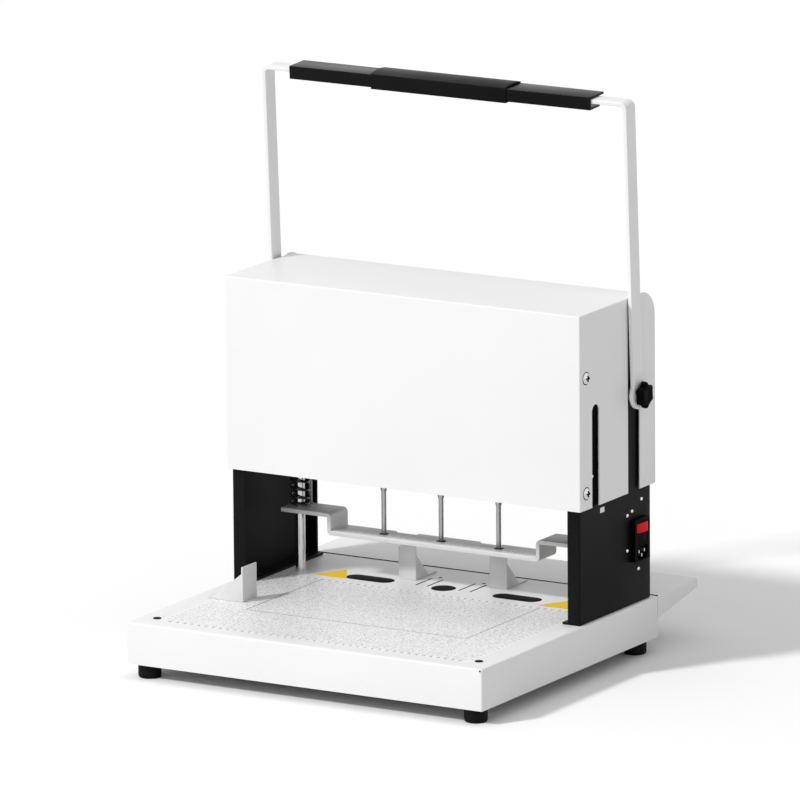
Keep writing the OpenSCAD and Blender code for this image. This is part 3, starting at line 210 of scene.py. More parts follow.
def brushed(name, color, rough, stretch, lines=60.0, depth=0.00005, strength=0.3,
            drift=0.08, rough_drift=0.07, metallic=1.0, specular=0.5):
    """Metal with fine brushed lines along one direction."""
    mat, tree, shader = start_material(name, metallic=metallic, specular=specular)
    place = place_of(tree)
    line = noise(tree, place, lines, 6.0, stretch)
    cloud = noise(tree, place, 14.0, 3.0)
    both = calc(tree, "ADD", calc(tree, "MULTIPLY", line, 0.65),
                calc(tree, "MULTIPLY", cloud, 0.35))
    low, high = shade(color, 1 - drift), shade(color, 1 + drift)
    tree.links.new(mix(tree, spread(tree, both, 0.0, 1.0), low, high), shader.inputs["Base Color"])
    gloss = spread(tree, both, rough - rough_drift, rough + rough_drift)
    tree.links.new(gloss, shader.inputs["Roughness"])
    bump(tree, shader, line, strength, depth)
    return mat


# Painted, moulded and rubber finishes, and a near-black for painted shade
FINISHES = {
    "white_paint": dict(color=(0.83, 0.83, 0.83), rough=0.42, drift=0.012, rough_drift=0.04,
                        patch=6.0, grain=750.0, depth=0.00006, strength=0.18),
    "lever_paint": dict(color=(0.83, 0.83, 0.83), rough=0.38, drift=0.012, rough_drift=0.04,
                        patch=8.0, grain=800.0, depth=0.00006, strength=0.18),
    "stop_paint": dict(color=(0.69, 0.69, 0.70), rough=0.48, drift=0.03, rough_drift=0.05,
                       patch=20.0, grain=900.0, depth=0.00005, strength=0.2, metallic=0.1),
    "black_paint": dict(color=(0.0044, 0.0044, 0.0046), rough=0.5, drift=0.15, rough_drift=0.06,
                        patch=7.0, grain=1100.0, depth=0.0001, strength=0.35, specular=0.1),
    "foot_rubber": dict(color=(0.004, 0.004, 0.004), rough=0.6, drift=0.2, rough_drift=0.08,
                        patch=30.0, grain=600.0, depth=0.00015, strength=0.4, specular=0.12),
    "pad_nylon": dict(color=(0.0045, 0.0045, 0.0045), rough=0.7, drift=0.2, rough_drift=0.08,
                      patch=60.0, grain=1200.0, depth=0.0001, strength=0.4, specular=0.05),
    "magnet_metal": dict(color=(0.12, 0.12, 0.125), rough=0.4, drift=0.1, rough_drift=0.08,
                         patch=60.0, grain=1500.0, depth=0.00003, strength=0.2, metallic=0.8),
    "moulded_black": dict(color=(0.0022, 0.0022, 0.0023), rough=0.5, drift=0.12, rough_drift=0.06,
                          patch=40.0, grain=1600.0, depth=0.00006, strength=0.3, specular=0.03),
    "grip_paint": dict(color=(0.0034, 0.0034, 0.0036), rough=0.25, drift=0.12, rough_drift=0.05,
                       patch=12.0, grain=1400.0, depth=0.00003, strength=0.2, specular=0.12),
    "sleeve_rubber": dict(color=(0.0036, 0.0036, 0.0038), rough=0.42, drift=0.12,
                          rough_drift=0.05, patch=14.0, grain=1300.0, depth=0.00004,
                          strength=0.25, specular=0.1),
    # Near-black for painted shade: the dark pieces in slots, holes, recesses, the seam and round the cover
    # washers
    "painted_shade_black": dict(color=(0.003, 0.003, 0.003), rough=0.95, drift=0.3, rough_drift=0.04,
                 patch=200.0, grain=2500.0, depth=0.0003, strength=0.8, specular=0.05),
    "rocker_red": dict(color=(0.68, 0.006, 0.01), rough=0.34, drift=0.06, rough_drift=0.05,
                       patch=60.0, grain=1500.0, depth=0.00003, strength=0.2, specular=0.12),
    "motor_paint": dict(color=(0.02, 0.02, 0.022), rough=0.45, drift=0.15, rough_drift=0.08,
                        patch=30.0, grain=900.0, depth=0.0001, strength=0.4, specular=0.2),
    "spring_wire": dict(color=(0.012, 0.012, 0.013), rough=0.2, drift=0.2, rough_drift=0.06,
                        patch=80.0, grain=1500.0, depth=0.00002, strength=0.2, specular=0.7),
    "yellow_patch": dict(color=(0.96, 0.63, 0.008), rough=0.5, drift=0.02, rough_drift=0.05,
                         patch=30.0, grain=1200.0, depth=0.00003, strength=0.15, specular=0.06),
    "number_ink": dict(color=(0.05, 0.05, 0.052), rough=0.5, drift=0.2, rough_drift=0.05,
                       patch=300.0, grain=1500.0, depth=0.00003, strength=0.15, specular=0.2),
    "white_patch": dict(color=(0.8, 0.8, 0.79), rough=0.5, drift=0.02, rough_drift=0.05,
                        patch=60.0, grain=1200.0, depth=0.00003, strength=0.15),
}

# Metals with brushed lines
METALS = {
    "press_metal": dict(color=(0.70, 0.70, 0.705), rough=0.45, stretch=(0.6, 24.0, 24.0),
                        metallic=0.12),
    "rod_chrome": dict(color=(0.72, 0.72, 0.73), rough=0.13, stretch=(30.0, 30.0, 0.5),
                       lines=60.0, depth=0.00001, strength=0.1, drift=0.05, rough_drift=0.04),
    "drill_metal": dict(color=(0.50, 0.50, 0.51), rough=0.24, stretch=(40.0, 40.0, 0.6),
                        lines=80.0, depth=0.00002, strength=0.2, drift=0.1, rough_drift=0.05),
    "turned_metal": dict(color=(0.42, 0.42, 0.43), rough=0.36, stretch=(0.8, 20.0, 20.0)),
    "bright_screw": dict(color=(0.80, 0.80, 0.81), rough=0.24, stretch=(6.0, 6.0, 6.0),
                         lines=200.0, depth=0.00002, strength=0.2, drift=0.06, rough_drift=0.05),
}


def made(name):
    """The material of one of the two tables."""
    if name in METALS:
        return brushed(name, **METALS[name])
    return finish(name, **FINISHES[name])


def zinc_metal():
    """Galvanised metal with its flat crystals."""
    mat, tree, shader = start_material("zinc_metal", metallic=1.0)
    place = place_of(tree)
    cells = add(tree, "TexVoronoi", {"Vector": place, "Scale": 140.0}, feature="F1")
    value = add(tree, "SeparateColor", {"Color": cells.outputs["Color"]}).outputs[0]
    color = mix(tree, value, (0.42, 0.43, 0.44), (0.6, 0.6, 0.6))
    tree.links.new(color, shader.inputs["Base Color"])
    tree.links.new(spread(tree, value, 0.28, 0.48, 0.0, 1.0), shader.inputs["Roughness"])
    bump(tree, shader, noise(tree, place, 500.0), 0.15, 0.00003)
    return mat


PIN_HIGHLIGHT_FACING = 0.8


def pin_metal():
    """Pins with a painted highlight on their ends, which face +X, and painted shade, near black, along their
    sides.
    """
    mat, tree, shader = start_material("pin_metal")
    grain = noise(tree, place_of(tree), 900.0, 3.0)
    facing = add(tree, "SeparateXYZ", {"Vector": add(tree, "TexCoord", {}).outputs["Normal"]})
    # The ends facing +X get the painted highlight; all other faces get the near-black painted shade.
    end = calc(tree, "GREATER_THAN", facing.outputs["X"], PIN_HIGHLIGHT_FACING)
    bright = mix(tree, grain, (0.86, 0.86, 0.85), (0.94, 0.94, 0.93))
    side = mix(tree, grain, (0.02, 0.02, 0.02), (0.05, 0.05, 0.05))
    tree.links.new(mix(tree, end, side, bright), shader.inputs["Base Color"])
    tree.links.new(spread(tree, grain, 0.4, 0.5, 0.0, 1.0), shader.inputs["Roughness"])
    return mat


def board_green():
    """A circuit board's green, with a pattern of tracks."""
    mat, tree, shader = start_material("board_green")
    place = place_of(tree)
    tracks = add(tree, "TexBrick", {"Vector": place, "Scale": 160.0, "Mortar Size": 0.02})
    base = mix(tree, tracks.outputs["Fac"], (0.01, 0.09, 0.04), (0.02, 0.16, 0.07))
    tree.links.new(base, shader.inputs["Base Color"])
    tree.links.new(spread(tree, noise(tree, place, 80.0), 0.25, 0.45), shader.inputs["Roughness"])
    bump(tree, shader, tracks.outputs["Fac"], 0.3, 0.00005)
    return mat


def lines_every(tree, value, pitch, width):
    """1 on a line of the given width at every pitch along a coordinate."""
    near = calc(tree, "PINGPONG", value, pitch / 2)
    return calc(tree, "LESS_THAN", near, width / 2)


def within(tree, value, low, high):
    """1 where a value lies between two limits."""
    above = calc(tree, "GREATER_THAN", value, low)
    return calc(tree, "MULTIPLY", above, calc(tree, "LESS_THAN", value, high))


# The table's print, in metres; the strengths are shares of full ink
INK = (0.06, 0.06, 0.065)
GRID_PITCH = 1.0 * MM
GRID_LINE = 0.15 * MM
WIDE_PITCH = 5.0 * MM
WIDE_LINE = 0.36 * MM
GRID_HALF_X = 208 * MM
GRID_Y = (-229 * MM, 34 * MM)
BORDER = 7 * MM
TICK = 4 * MM
TICK_PITCH = 10 * MM
TICK_LINE = 1.8 * MM
PAPER_HALF = 152.4 * MM
PAPER_Y = -136 * MM
PAPER_LINE = 1.3 * MM
FINE_SHARE = 0.5
TICK_SHARE = 0.5
PAPER_SHARE = 0.8
WORN_GRAIN = 380.0
WORN_MOST = 1.4
WORN_RANGE = (0.49, 0.60)
TABLE_PAINT = ((0.88, 0.88, 0.88), (0.90, 0.90, 0.90))


def table_ink():
    """The table's paint with a printed grid, a border of ticks and the paper's outline."""
    mat, tree, shader = start_material("table_ink")
    place = place_of(tree)
    parts = add(tree, "SeparateXYZ", {"Vector": place})
    x, y = parts.outputs["X"], parts.outputs["Y"]
    side = calc(tree, "ABSOLUTE", x)
    in_x = calc(tree, "LESS_THAN", side, GRID_HALF_X)
    in_y = within(tree, y, *GRID_Y)
    inside = calc(tree, "MULTIPLY", in_x, in_y)
    fine = calc(tree, "MAXIMUM", lines_every(tree, x, GRID_PITCH, GRID_LINE),
                lines_every(tree, y, GRID_PITCH, GRID_LINE))
    wide = calc(tree, "MAXIMUM", lines_every(tree, x, WIDE_PITCH, WIDE_LINE),
                lines_every(tree, y, WIDE_PITCH, WIDE_LINE))
    pale = calc(tree, "MULTIPLY", fine, FINE_SHARE)
    grid = calc(tree, "MULTIPLY", calc(tree, "MAXIMUM", pale, wide), inside)

    far = calc(tree, "SUBTRACT", side, GRID_HALF_X)
    near_x = calc(tree, "LESS_THAN", far, TICK)
    tick_y0 = calc(tree, "GREATER_THAN", y, GRID_Y[0] - TICK)
    tick_y1 = calc(tree, "LESS_THAN", y, GRID_Y[1] + TICK)
    near_y = calc(tree, "MULTIPLY", tick_y0, tick_y1)
    ticks_x = calc(tree, "MULTIPLY", lines_every(tree, x, TICK_PITCH, TICK_LINE), in_x)
    ticks_x = calc(tree, "MULTIPLY", ticks_x, near_y)
    ticks_y = calc(tree, "MULTIPLY", lines_every(tree, y, TICK_PITCH, TICK_LINE), in_y)
    ticks_y = calc(tree, "MULTIPLY", ticks_y, near_x)
    outside = calc(tree, "SUBTRACT", 1.0, inside)
    ticks = calc(tree, "MULTIPLY", calc(tree, "MAXIMUM", ticks_x, ticks_y), outside)

    near_side = calc(tree, "ABSOLUTE", calc(tree, "SUBTRACT", side, PAPER_HALF))
    side_line = calc(tree, "MULTIPLY", calc(tree, "LESS_THAN", near_side, PAPER_LINE / 2),
                     calc(tree, "GREATER_THAN", y, PAPER_Y))
    near_front = calc(tree, "ABSOLUTE", calc(tree, "SUBTRACT", y, PAPER_Y))
    front_line = calc(tree, "MULTIPLY", calc(tree, "LESS_THAN", near_front, PAPER_LINE / 2),
                      calc(tree, "LESS_THAN", side, PAPER_HALF))
    paper = calc(tree, "MAXIMUM", side_line, front_line)

    worn = spread(tree, noise(tree, place, WORN_GRAIN), 0.0, WORN_MOST, *WORN_RANGE)
    marks = calc(tree, "MAXIMUM", calc(tree, "MULTIPLY", paper, PAPER_SHARE),
                 calc(tree, "MULTIPLY", ticks, TICK_SHARE))
    ink = calc(tree, "MAXIMUM", calc(tree, "MULTIPLY", grid, worn), marks)
    patches = spread(tree, noise(tree, place, 6.0, 3.0), 0.0, 1.0)
    paint = mix(tree, patches, *TABLE_PAINT)
    tree.links.new(mix(tree, ink, paint, INK), shader.inputs["Base Color"])
    tree.links.new(spread(tree, patches, 0.38, 0.46, 0.0, 1.0), shader.inputs["Roughness"])
    bump(tree, shader, noise(tree, place, 750.0), 0.18, 0.00006)
    return mat


# The ruler's ticks: pitch, width and length in millimetres
RULER = ((1, 0.25, 2.5), (5, 0.5, 4.0), (10, 0.8, 6.0))
RULER_SHARE = 0.8
RULER_PAINT = ((0.80, 0.80, 0.79), (0.84, 0.84, 0.83))


def scale_ink():
    """White plastic with a ruler's ticks along the strip's rear edge."""
    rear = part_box("scale_strip")[1].y
    mat, tree, shader = start_material("scale_ink")
    place = place_of(tree)
    parts = add(tree, "SeparateXYZ", {"Vector": place})
    x, y = parts.outputs["X"], parts.outputs["Y"]
    back = calc(tree, "SUBTRACT", rear, y)
    short, middle, long = (calc(tree, "MULTIPLY", lines_every(tree, x, pitch * MM, width * MM),
                                calc(tree, "LESS_THAN", back, reach * MM))
                           for pitch, width, reach in RULER)
    ink = calc(tree, "MAXIMUM", short, calc(tree, "MAXIMUM", middle, long))
    ink = calc(tree, "MULTIPLY", ink, RULER_SHARE)
    patches = spread(tree, noise(tree, place, 20.0, 3.0), 0.0, 1.0)
    paint = mix(tree, patches, *RULER_PAINT)
    tree.links.new(mix(tree, ink, paint, INK), shader.inputs["Base Color"])
    tree.links.new(spread(tree, patches, 0.36, 0.46, 0.0, 1.0), shader.inputs["Roughness"])
    bump(tree, shader, noise(tree, place, 1200.0), 0.15, 0.00003)
    return mat


# ------------------------------------------------------------------- meshes


def put(name, mesh, material, slot, body, *replaced):
    """Links a mesh as a piece of the part, with its material and on its body; the slot is not used."""
    obj = bpy.data.objects.new(name, mesh)
    bpy.context.scene.collection.objects.link(obj)
    mesh.materials.clear()
    mesh.materials.append(material)
    for polygon in mesh.polygons:
        polygon.material_index = 0
    if body:
        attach(obj, body)
    if replaced:
        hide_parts(*replaced)
    return obj


def to_mesh(bm, name):
    """The finished mesh, smooth up to an angle and without leftover normals."""
    bmesh.ops.recalc_face_normals(bm, faces=bm.faces)
    mesh = bpy.data.meshes.new(name)
    bm.to_mesh(mesh)
    bm.free()
    for leftover in [a.name for a in mesh.attributes if a.name == "custom_normal"]:
        mesh.attributes.remove(mesh.attributes[leftover])
    mesh.shade_smooth()
    mesh.set_sharp_from_angle(angle=math.radians(SMOOTH_ANGLE))
    return mesh


def sharp_edges(bm):
    """The edges between two faces that meet at more than the sharp angle."""
    return [e for e in bm.edges if len(e.link_faces) == 2
            and e.calc_face_angle(0.0) > math.radians(SHARP_ANGLE)]


def round_edges(bm, edges, width, segments):
    """Rounds edges by a width in millimetres."""
    if edges:
        bmesh.ops.bevel(bm, geom=edges, offset=width * MM, offset_type="OFFSET",
                        segments=segments, profile=0.5, affect="EDGES",
                        clamp_overlap=False)


def clean_copy(node):
    """The node's mesh with its flat faces joined."""
    bm = bmesh.new()
    bm.from_mesh(NODES[node].data)
    bmesh.ops.remove_doubles(bm, verts=bm.verts, dist=WELD)
    bmesh.ops.dissolve_limit(bm, angle_limit=math.radians(FLAT_ANGLE), verts=bm.verts,
                             edges=bm.edges)
    return bm


def box_edges(bm, node, skip=""):
    """The sharp edges that lie on two sides of the node's box, apart from the sides to skip."""
    lo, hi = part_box(node)
    sides = {"x0": (0, lo.x), "x1": (0, hi.x), "y0": (1, lo.y), "y1": (1, hi.y),
             "z0": (2, lo.z), "z1": (2, hi.z)}

    def on(edge, side):
        axis, at = sides[side]
        return all(abs(v.co[axis] - at) < ON_SIDE for v in edge.verts)

    chosen = []
    for edge in sharp_edges(bm):
        held = [s for s in sides if on(edge, s)]
        if len(held) >= 2 and not any(s in skip.split() for s in held):
            chosen.append(edge)
    return chosen


def rounded(node, material, slot, small=0.0, fold=0.0, skip="", pick=None, segments=3):
    """Stands for a node: its shape with rounded folds and softened edges."""
    bm = clean_copy(node)
    if fold:
        edges = [e for e in sharp_edges(bm) if pick(e)] if pick else box_edges(bm, node, skip)
        round_edges(bm, edges, fold, segments + 1)
    if small:
        round_edges(bm, sharp_edges(bm), small, segments)
    mesh = to_mesh(bm, node + "_finish")
    put(node + "_finish", mesh, material, slot, BODY[node], node)


def kept(node, material):
    """A node whose shape stays as it is, with a better material."""
    obj = NODES[node]
    if not obj.material_slots:
        obj.data.materials.append(material)
    for slot in obj.material_slots:
        slot.material = material


def turn(bm, profile, center, axis="z", flip=False, steps=48):
    """A solid of revolution; the profile is (radius, height) points in millimetres."""
    rings = []
    for radius, height in profile:
        ring = []
        for k in range(steps):
            a = 2 * math.pi * k / steps
            u, v, w = radius * math.cos(a), radius * math.sin(a), -height if flip else height
            spot = {"z": (u, v, w), "x": (w, u, v), "y": (u, w, v)}[axis]
            ring.append(bm.verts.new(Vector(spot) * MM + Vector(center)))
        rings.append(ring)
    count = len(rings)
    for i in range(count):
        low, high = rings[i], rings[(i + 1) % count]
        for k in range(steps):
            n = (k + 1) % steps
            bm.faces.new((low[k], low[n], high[n], high[k]))


def arc(center, radius, start, end, steps):
    """Points of an arc, angles in degrees."""
    points = []
    for i in range(steps + 1):
        a = math.radians(start + (end - start) * i / steps)
        points.append((center[0] + radius * math.cos(a), center[1] + radius * math.sin(a)))
    return points


def tube(bm, path, radius, sides=16):
    """A closed tube along the points of a path, with flat ends."""
    rings = []
    up = Vector((0, 0, 1))
    for i, point in enumerate(path):
        ahead = path[min(i + 1, len(path) - 1)] - path[max(i - 1, 0)]
        ahead.normalize()
        side = ahead.cross(up).normalized()
        other = side.cross(ahead)
        ring = []
        for k in range(sides):
            a = 2 * math.pi * k / sides
            ring.append(bm.verts.new(point + (side * math.cos(a) + other * math.sin(a)) * radius))
        rings.append(ring)
    for low, high in zip(rings, rings[1:]):
        for k in range(sides):
            n = (k + 1) % sides
            bm.faces.new((low[k], low[n], high[n], high[k]))
    bm.faces.new(rings[0])
    bm.faces.new(rings[-1])


def coil(center, radius, wire, low, high, turns, closed, steps=32, start=0.0):
    """The path of a left-hand coil spring with closed turns at both ends."""
    total = turns + 2 * closed
    count = int(total * steps)
    path = []
    for i in range(count + 1):
        t = total * i / count
        if t < closed:
            z = low + wire * t
        elif t > total - closed:
            z = high - wire * (total - t)
        else:
            share = (t - closed) / turns
            z = low + wire * closed + (high - low - 2 * wire * closed) * share
        a = start - 2 * math.pi * t
        x, y = center[0] + radius * math.cos(a), center[1] + radius * math.sin(a)
        path.append(Vector((x, y, z)))
    return path


def sheet_piece(name, outline, z0, z1, material, slot, body):
    """A flat printed piece between two heights, from its outline."""
    bm = bmesh.new()
    low, high = ([bm.verts.new((x, y, z)) for x, y in outline] for z in (z0, z1))
    bm.faces.new(low)
    bm.faces.new(high)
    for k in range(len(outline)):
        bm.faces.new((low[k - 1], low[k], high[k], high[k - 1]))
    put(name, to_mesh(bm, name), material, slot, body)


def box_piece(bm, lo, hi):
    """Adds a block from its two corners."""
    verts = [bm.verts.new((x, y, z)) for z in (lo[2], hi[2]) for y in (lo[1], hi[1])
             for x in (lo[0], hi[0])]
    for a, b, c, d in ((0, 2, 3, 1), (4, 5, 7, 6), (0, 1, 5, 4), (2, 6, 7, 3), (0, 4, 6, 2),
                       (1, 3, 7, 5)):
        bm.faces.new((verts[a], verts[b], verts[c], verts[d]))


# ------------------------------------------------------------------- pieces


SHORTEST_FOLD = 10 * MM


def white_sheets(white):
    rounded("base_shell", white, "white_sheet", fold=2.2, skip="z0 y1")
    rounded("front_cover", white, "white_sheet", fold=1.4, skip="z0")
    rounded("rear_cover", white, "white_sheet", small=0.35, segments=2)

    def deck_fold(edge):
        """A long edge at the top of the deck's sides."""
        a, b = (v.co for v in edge.verts)
        return (abs(abs(a.x) - HALF_W) < ON_SIDE and abs(abs(b.x) - HALF_W) < ON_SIDE
                and min(a.z, b.z) > TABLE_Z - MM and abs(a.y - b.y) > SHORTEST_FOLD)

    rounded("rear_deck", white, "white_sheet", fold=1.6, pick=deck_fold)


def black_sheets(black):
    rounded("left_column", black, "black_sheet", fold=2.0, skip="z1 x1")
    rounded("right_column", black, "black_sheet", fold=2.0, skip="z1 x0")
    rounded("work_beam", black, "black_sheet", small=0.4, segments=2)
    rounded("top_beam", black, "black_sheet", small=0.4, segments=2)
    rounded("column_foot_screws", black, "black_sheet", small=0.35, segments=2)


PRINT_SUNK = 0.2 * MM
PRINT_PROUD = 0.06 * MM


def table_print(ink):
    """The printed area, a thin sheet on the table."""
    half = GRID_HALF_X + BORDER
    y0, y1 = GRID_Y[0] - BORDER, GRID_Y[1] + BORDER
    outline = [(-half, y0), (half, y0), (half, y1), (-half, y1)]
    sheet_piece("table_print", outline, TABLE_Z - PRINT_SUNK, TABLE_Z + PRINT_PROUD, ink,
                "white_sheet", "base")


# The border's numbers, in millimetres
NUMBER_STEP = 10
NUMBER_LAST = 200
NUMBER_SIZE = 5.0
NUMBER_ROWS = (GRID_Y[0] / MM - 5.6, GRID_Y[1] / MM + 2.6)
NUMBER_HALF_THICK = 0.03
NUMBER_LIFT = 0.08
NUMBER_WELD = 1e-7


def border_numbers(ink):
    """Centimetres from the middle, along the print's front and rear borders."""
    bm = bmesh.new()
    for count in range(NUMBER_LAST // NUMBER_STEP + 1):
        curve = bpy.data.curves.new("number", "FONT")
        curve.body = str(count)
        curve.size = NUMBER_SIZE
        curve.align_x = "CENTER"
        curve.extrude = NUMBER_HALF_THICK
        curve.resolution_u = 2
        holder = bpy.data.objects.new("number", curve)
        flat = holder.to_mesh()
        for sign in sorted({1, -1 if count else 1}):
            for row in NUMBER_ROWS:
                start = len(bm.verts)
                bm.from_mesh(flat)
                bm.verts.ensure_lookup_table()
                for v in bm.verts[start:]:
                    v.co.x += sign * count * NUMBER_STEP
                    v.co.y += row
                    v.co.z += TABLE_Z / MM + NUMBER_LIFT
        holder.to_mesh_clear()
        bpy.data.objects.remove(holder)
        bpy.data.curves.remove(curve)
    bmesh.ops.scale(bm, vec=(MM, MM, MM), verts=bm.verts)
    bmesh.ops.remove_doubles(bm, verts=bm.verts, dist=NUMBER_WELD)
    put("border_numbers", to_mesh(bm, "border_numbers"), ink, "white_sheet", "base")


SEAM_HALF = 1.3 * MM
SEAM_PROUD = 0.45 * MM
SEAM_SUNK = 0.3 * MM
SEAM_INSET = 0.2 * MM


def seam_strip(dark):
    """A flat dark strip over the seam between the table and the deck: painted shade for the seam's shadow
    line.
    """
    bm = bmesh.new()
    middle = (BASE_HI.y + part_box("rear_deck")[0].y) / 2
    y0, y1 = middle - SEAM_HALF, middle + SEAM_HALF
    half = HALF_W - SEAM_INSET
    box_piece(bm, (-half, y0, TABLE_Z - SEAM_SUNK), (half, y1, TABLE_Z + SEAM_PROUD))
    round_edges(bm, sharp_edges(bm), width=0.25, segments=2)
    put("seam_strip", to_mesh(bm, "seam_strip"), dark, "black_sheet", "base")


# The yellow patches, in millimetres
PATCH_PLACES = ((-151.6, 70.0), (166.5, 63.0))
PATCH_SIDE = 48.5
PATCH_INSET = 3.0
PATCH_ROUND = 1.5
PATCH_SUNK = 0.1
PATCH_PROUD = 0.12


def corner_patches(yellow):
    """Two blank yellow triangles with rounded corners, flat on the table."""
    for name, (cx, cy) in zip(("yellow_patch_left", "yellow_patch_right"), PATCH_PLACES):
        outline = []
        reach = PATCH_SIDE / math.sqrt(3) - PATCH_INSET
        for k in range(3):
            middle = 90 + 120 * k
            corner = (cx + reach * math.cos(math.radians(middle)),
                      cy + reach * math.sin(math.radians(middle)))
            outline += arc(corner, PATCH_ROUND, middle - 60, middle + 60, 6)
        points = [(x * MM, y * MM) for x, y in outline]
        sheet_piece(name, points, TABLE_Z - PATCH_SUNK * MM, TABLE_Z + PATCH_PROUD * MM,
                    yellow, "white_sheet", "base")


# The table's slots and spare holes, in millimetres; a hole is x, y and radius
SLOT_XS = (-37.75, -22.25, 22.25, 37.75)
SLOT_Y = (69.0, 109.0)
SLOT_HALF = 1.2
SPARE_HOLE = (30.4, 115.5, 2.5)
LINER = 0.35
LINER_DEEP = 1.2
LINER_LOW = 0.02


def slot_liners(dark):
    """Thin dark liners in the table's narrow slots and round the spare holes: painted shade for their
    insides.
    """
    bm = bmesh.new()
    z0, z1 = TABLE_Z - LINER_DEEP * MM, TABLE_Z - LINER_LOW * MM
    wall = LINER * MM
    for x in SLOT_XS:
        lo = ((x - SLOT_HALF) * MM, SLOT_Y[0] * MM)
        hi = ((x + SLOT_HALF) * MM, SLOT_Y[1] * MM)
        box_piece(bm, (lo[0], lo[1], z0), (lo[0] + wall, hi[1], z1))
        box_piece(bm, (hi[0] - wall, lo[1], z0), (hi[0], hi[1], z1))
        box_piece(bm, (lo[0] + wall, lo[1], z0), (hi[0] - wall, lo[1] + wall, z1))
        box_piece(bm, (lo[0] + wall, hi[1] - wall, z0), (hi[0] - wall, hi[1], z1))
    for sign in (-1, 1):
        center = (sign * SPARE_HOLE[0] * MM, SPARE_HOLE[1] * MM, TABLE_Z)
        inner, outer = SPARE_HOLE[2] - LINER, SPARE_HOLE[2] + LINER_LOW
        ring = [(inner, -LINER_DEEP), (outer, -LINER_DEEP), (outer, -LINER_LOW),
                (inner, -LINER_LOW)]
        turn(bm, ring, center, steps=24)
    put("slot_liners", to_mesh(bm, "slot_liners"), dark, "black_sheet", "base")


MARK_INSET = 2.6 * MM
MARK_SUNK = 0.4 * MM
MARK_DROP = 2.4 * MM


def corner_mark(black):
    """A small dark plug at the base's front right corner: painted shade standing for a relief hole."""
    bm = bmesh.new()
    center = (BASE_HI.x - MARK_INSET, BASE_LO.y + MARK_SUNK, TABLE_Z - MARK_DROP)
    profile = [(0.05, -0.6), (1.1, -0.6), (1.2, 0.52), (0.05, 0.55)]
    turn(bm, profile, center, "y", flip=True, steps=16)
    put("corner_mark", to_mesh(bm, "corner_mark"), black, "black_sheet", "base")


WEB_PATCH_Y = (29.6 * MM, 39.7 * MM)
WEB_PATCH_Z = (197.2 * MM, 203.6 * MM)
WEB_SUNK = 0.05 * MM
WEB_PATCH_PROUD = 0.15 * MM


def web_patch(white):
    """The pale blank label on the right column."""
    bm = bmesh.new()
    box_piece(bm, (WEB_X - WEB_SUNK, WEB_PATCH_Y[0], WEB_PATCH_Z[0]),
              (WEB_X + WEB_PATCH_PROUD, WEB_PATCH_Y[1], WEB_PATCH_Z[1]))
    edges = [e for e in bm.edges if abs(e.verts[0].co.x - e.verts[1].co.x) > 0.1 * MM]
    round_edges(bm, edges, width=0.8, segments=3)
    put("web_patch", to_mesh(bm, "web_patch"), white, "white_sheet", "base")


SLOT_SHADE_Y = (1.0 * MM, 23.0 * MM)
SLOT_SHADE_Z = (HEAD_LO.z + 0.5 * MM, HEAD_LO.z + 128 * MM)
SLOT_SHADE_PROUD = 0.8 * MM


def slot_seals(dark):
    """A dark strip on each column, behind the slot of the cover's side: painted shade for the dark inside of
    the slot.
    """
    for name, sign in (("slot_shade_left", -1), ("slot_shade_right", 1)):
        bm = bmesh.new()
        xs = sorted((sign * (WEB_X - WEB_SUNK), sign * (WEB_X + SLOT_SHADE_PROUD)))
        box_piece(bm, (xs[0], SLOT_SHADE_Y[0], SLOT_SHADE_Z[0]), (xs[1], SLOT_SHADE_Y[1], SLOT_SHADE_Z[1]))
        round_edges(bm, sharp_edges(bm), width=0.3, segments=2)
        put(name, to_mesh(bm, name), dark, "black_sheet", "base")


# Screws, in millimetres; a solid of revolution starts at CORE from its axis
CORE = 0.02
SEAT_SUNK = 0.2
HEAD_SUNK = 0.3
DECK_HEAD = 2.5
DECK_SHANK = 9.0
DECK_SHANK_R = 1.9
WEB_SHANK = 5.0


def screw_shank(bm, radius, length, seat, axis, sign=1, steps=20):
    """A screw's shank, from just under its seat inward."""
    profile = [(CORE, -length), (radius, -length), (radius, -SEAT_SUNK), (CORE, -SEAT_SUNK)]
    turn(bm, profile, seat, axis, flip=sign < 0, steps=steps)


def button(bm, center, axis, sign, radius, height, socket):
    """A domed screw head with a round recess, its seat at the centre."""
    dome_r = (radius * radius + height * height) / (2 * height)
    middle = height - dome_r
    start = math.degrees(math.asin(-middle / dome_r)) if middle < 0 else 0.0
    end = math.degrees(math.acos(min(1.0, socket / dome_r)))
    curve = arc((0, middle), dome_r, start, end, 8)
    profile = [(CORE, -HEAD_SUNK), (radius, -HEAD_SUNK)] + curve
    profile += [(socket * 0.9, height * 0.45), (CORE, height * 0.4)]
    turn(bm, profile, center, axis, flip=sign < 0, steps=24)


def islands(node):
    """The lowest and highest corner of each separate solid of a node, in order of place."""
    bm = clean_copy(node)
    left, found = set(bm.verts), []
    while left:
        todo, group = [left.pop()], []
        while todo:
            v = todo.pop()
            group.append(v.co.copy())
            for e in v.link_edges:
                w = e.other_vert(v)
                if w in left:
                    left.discard(w)
                    todo.append(w)
        lo = Vector([min(c[i] for c in group) for i in range(3)])
        hi = Vector([max(c[i] for c in group) for i in range(3)])
        found.append((lo, hi))
    bm.free()
    return sorted(found, key=lambda corners: tuple(corners[0]))


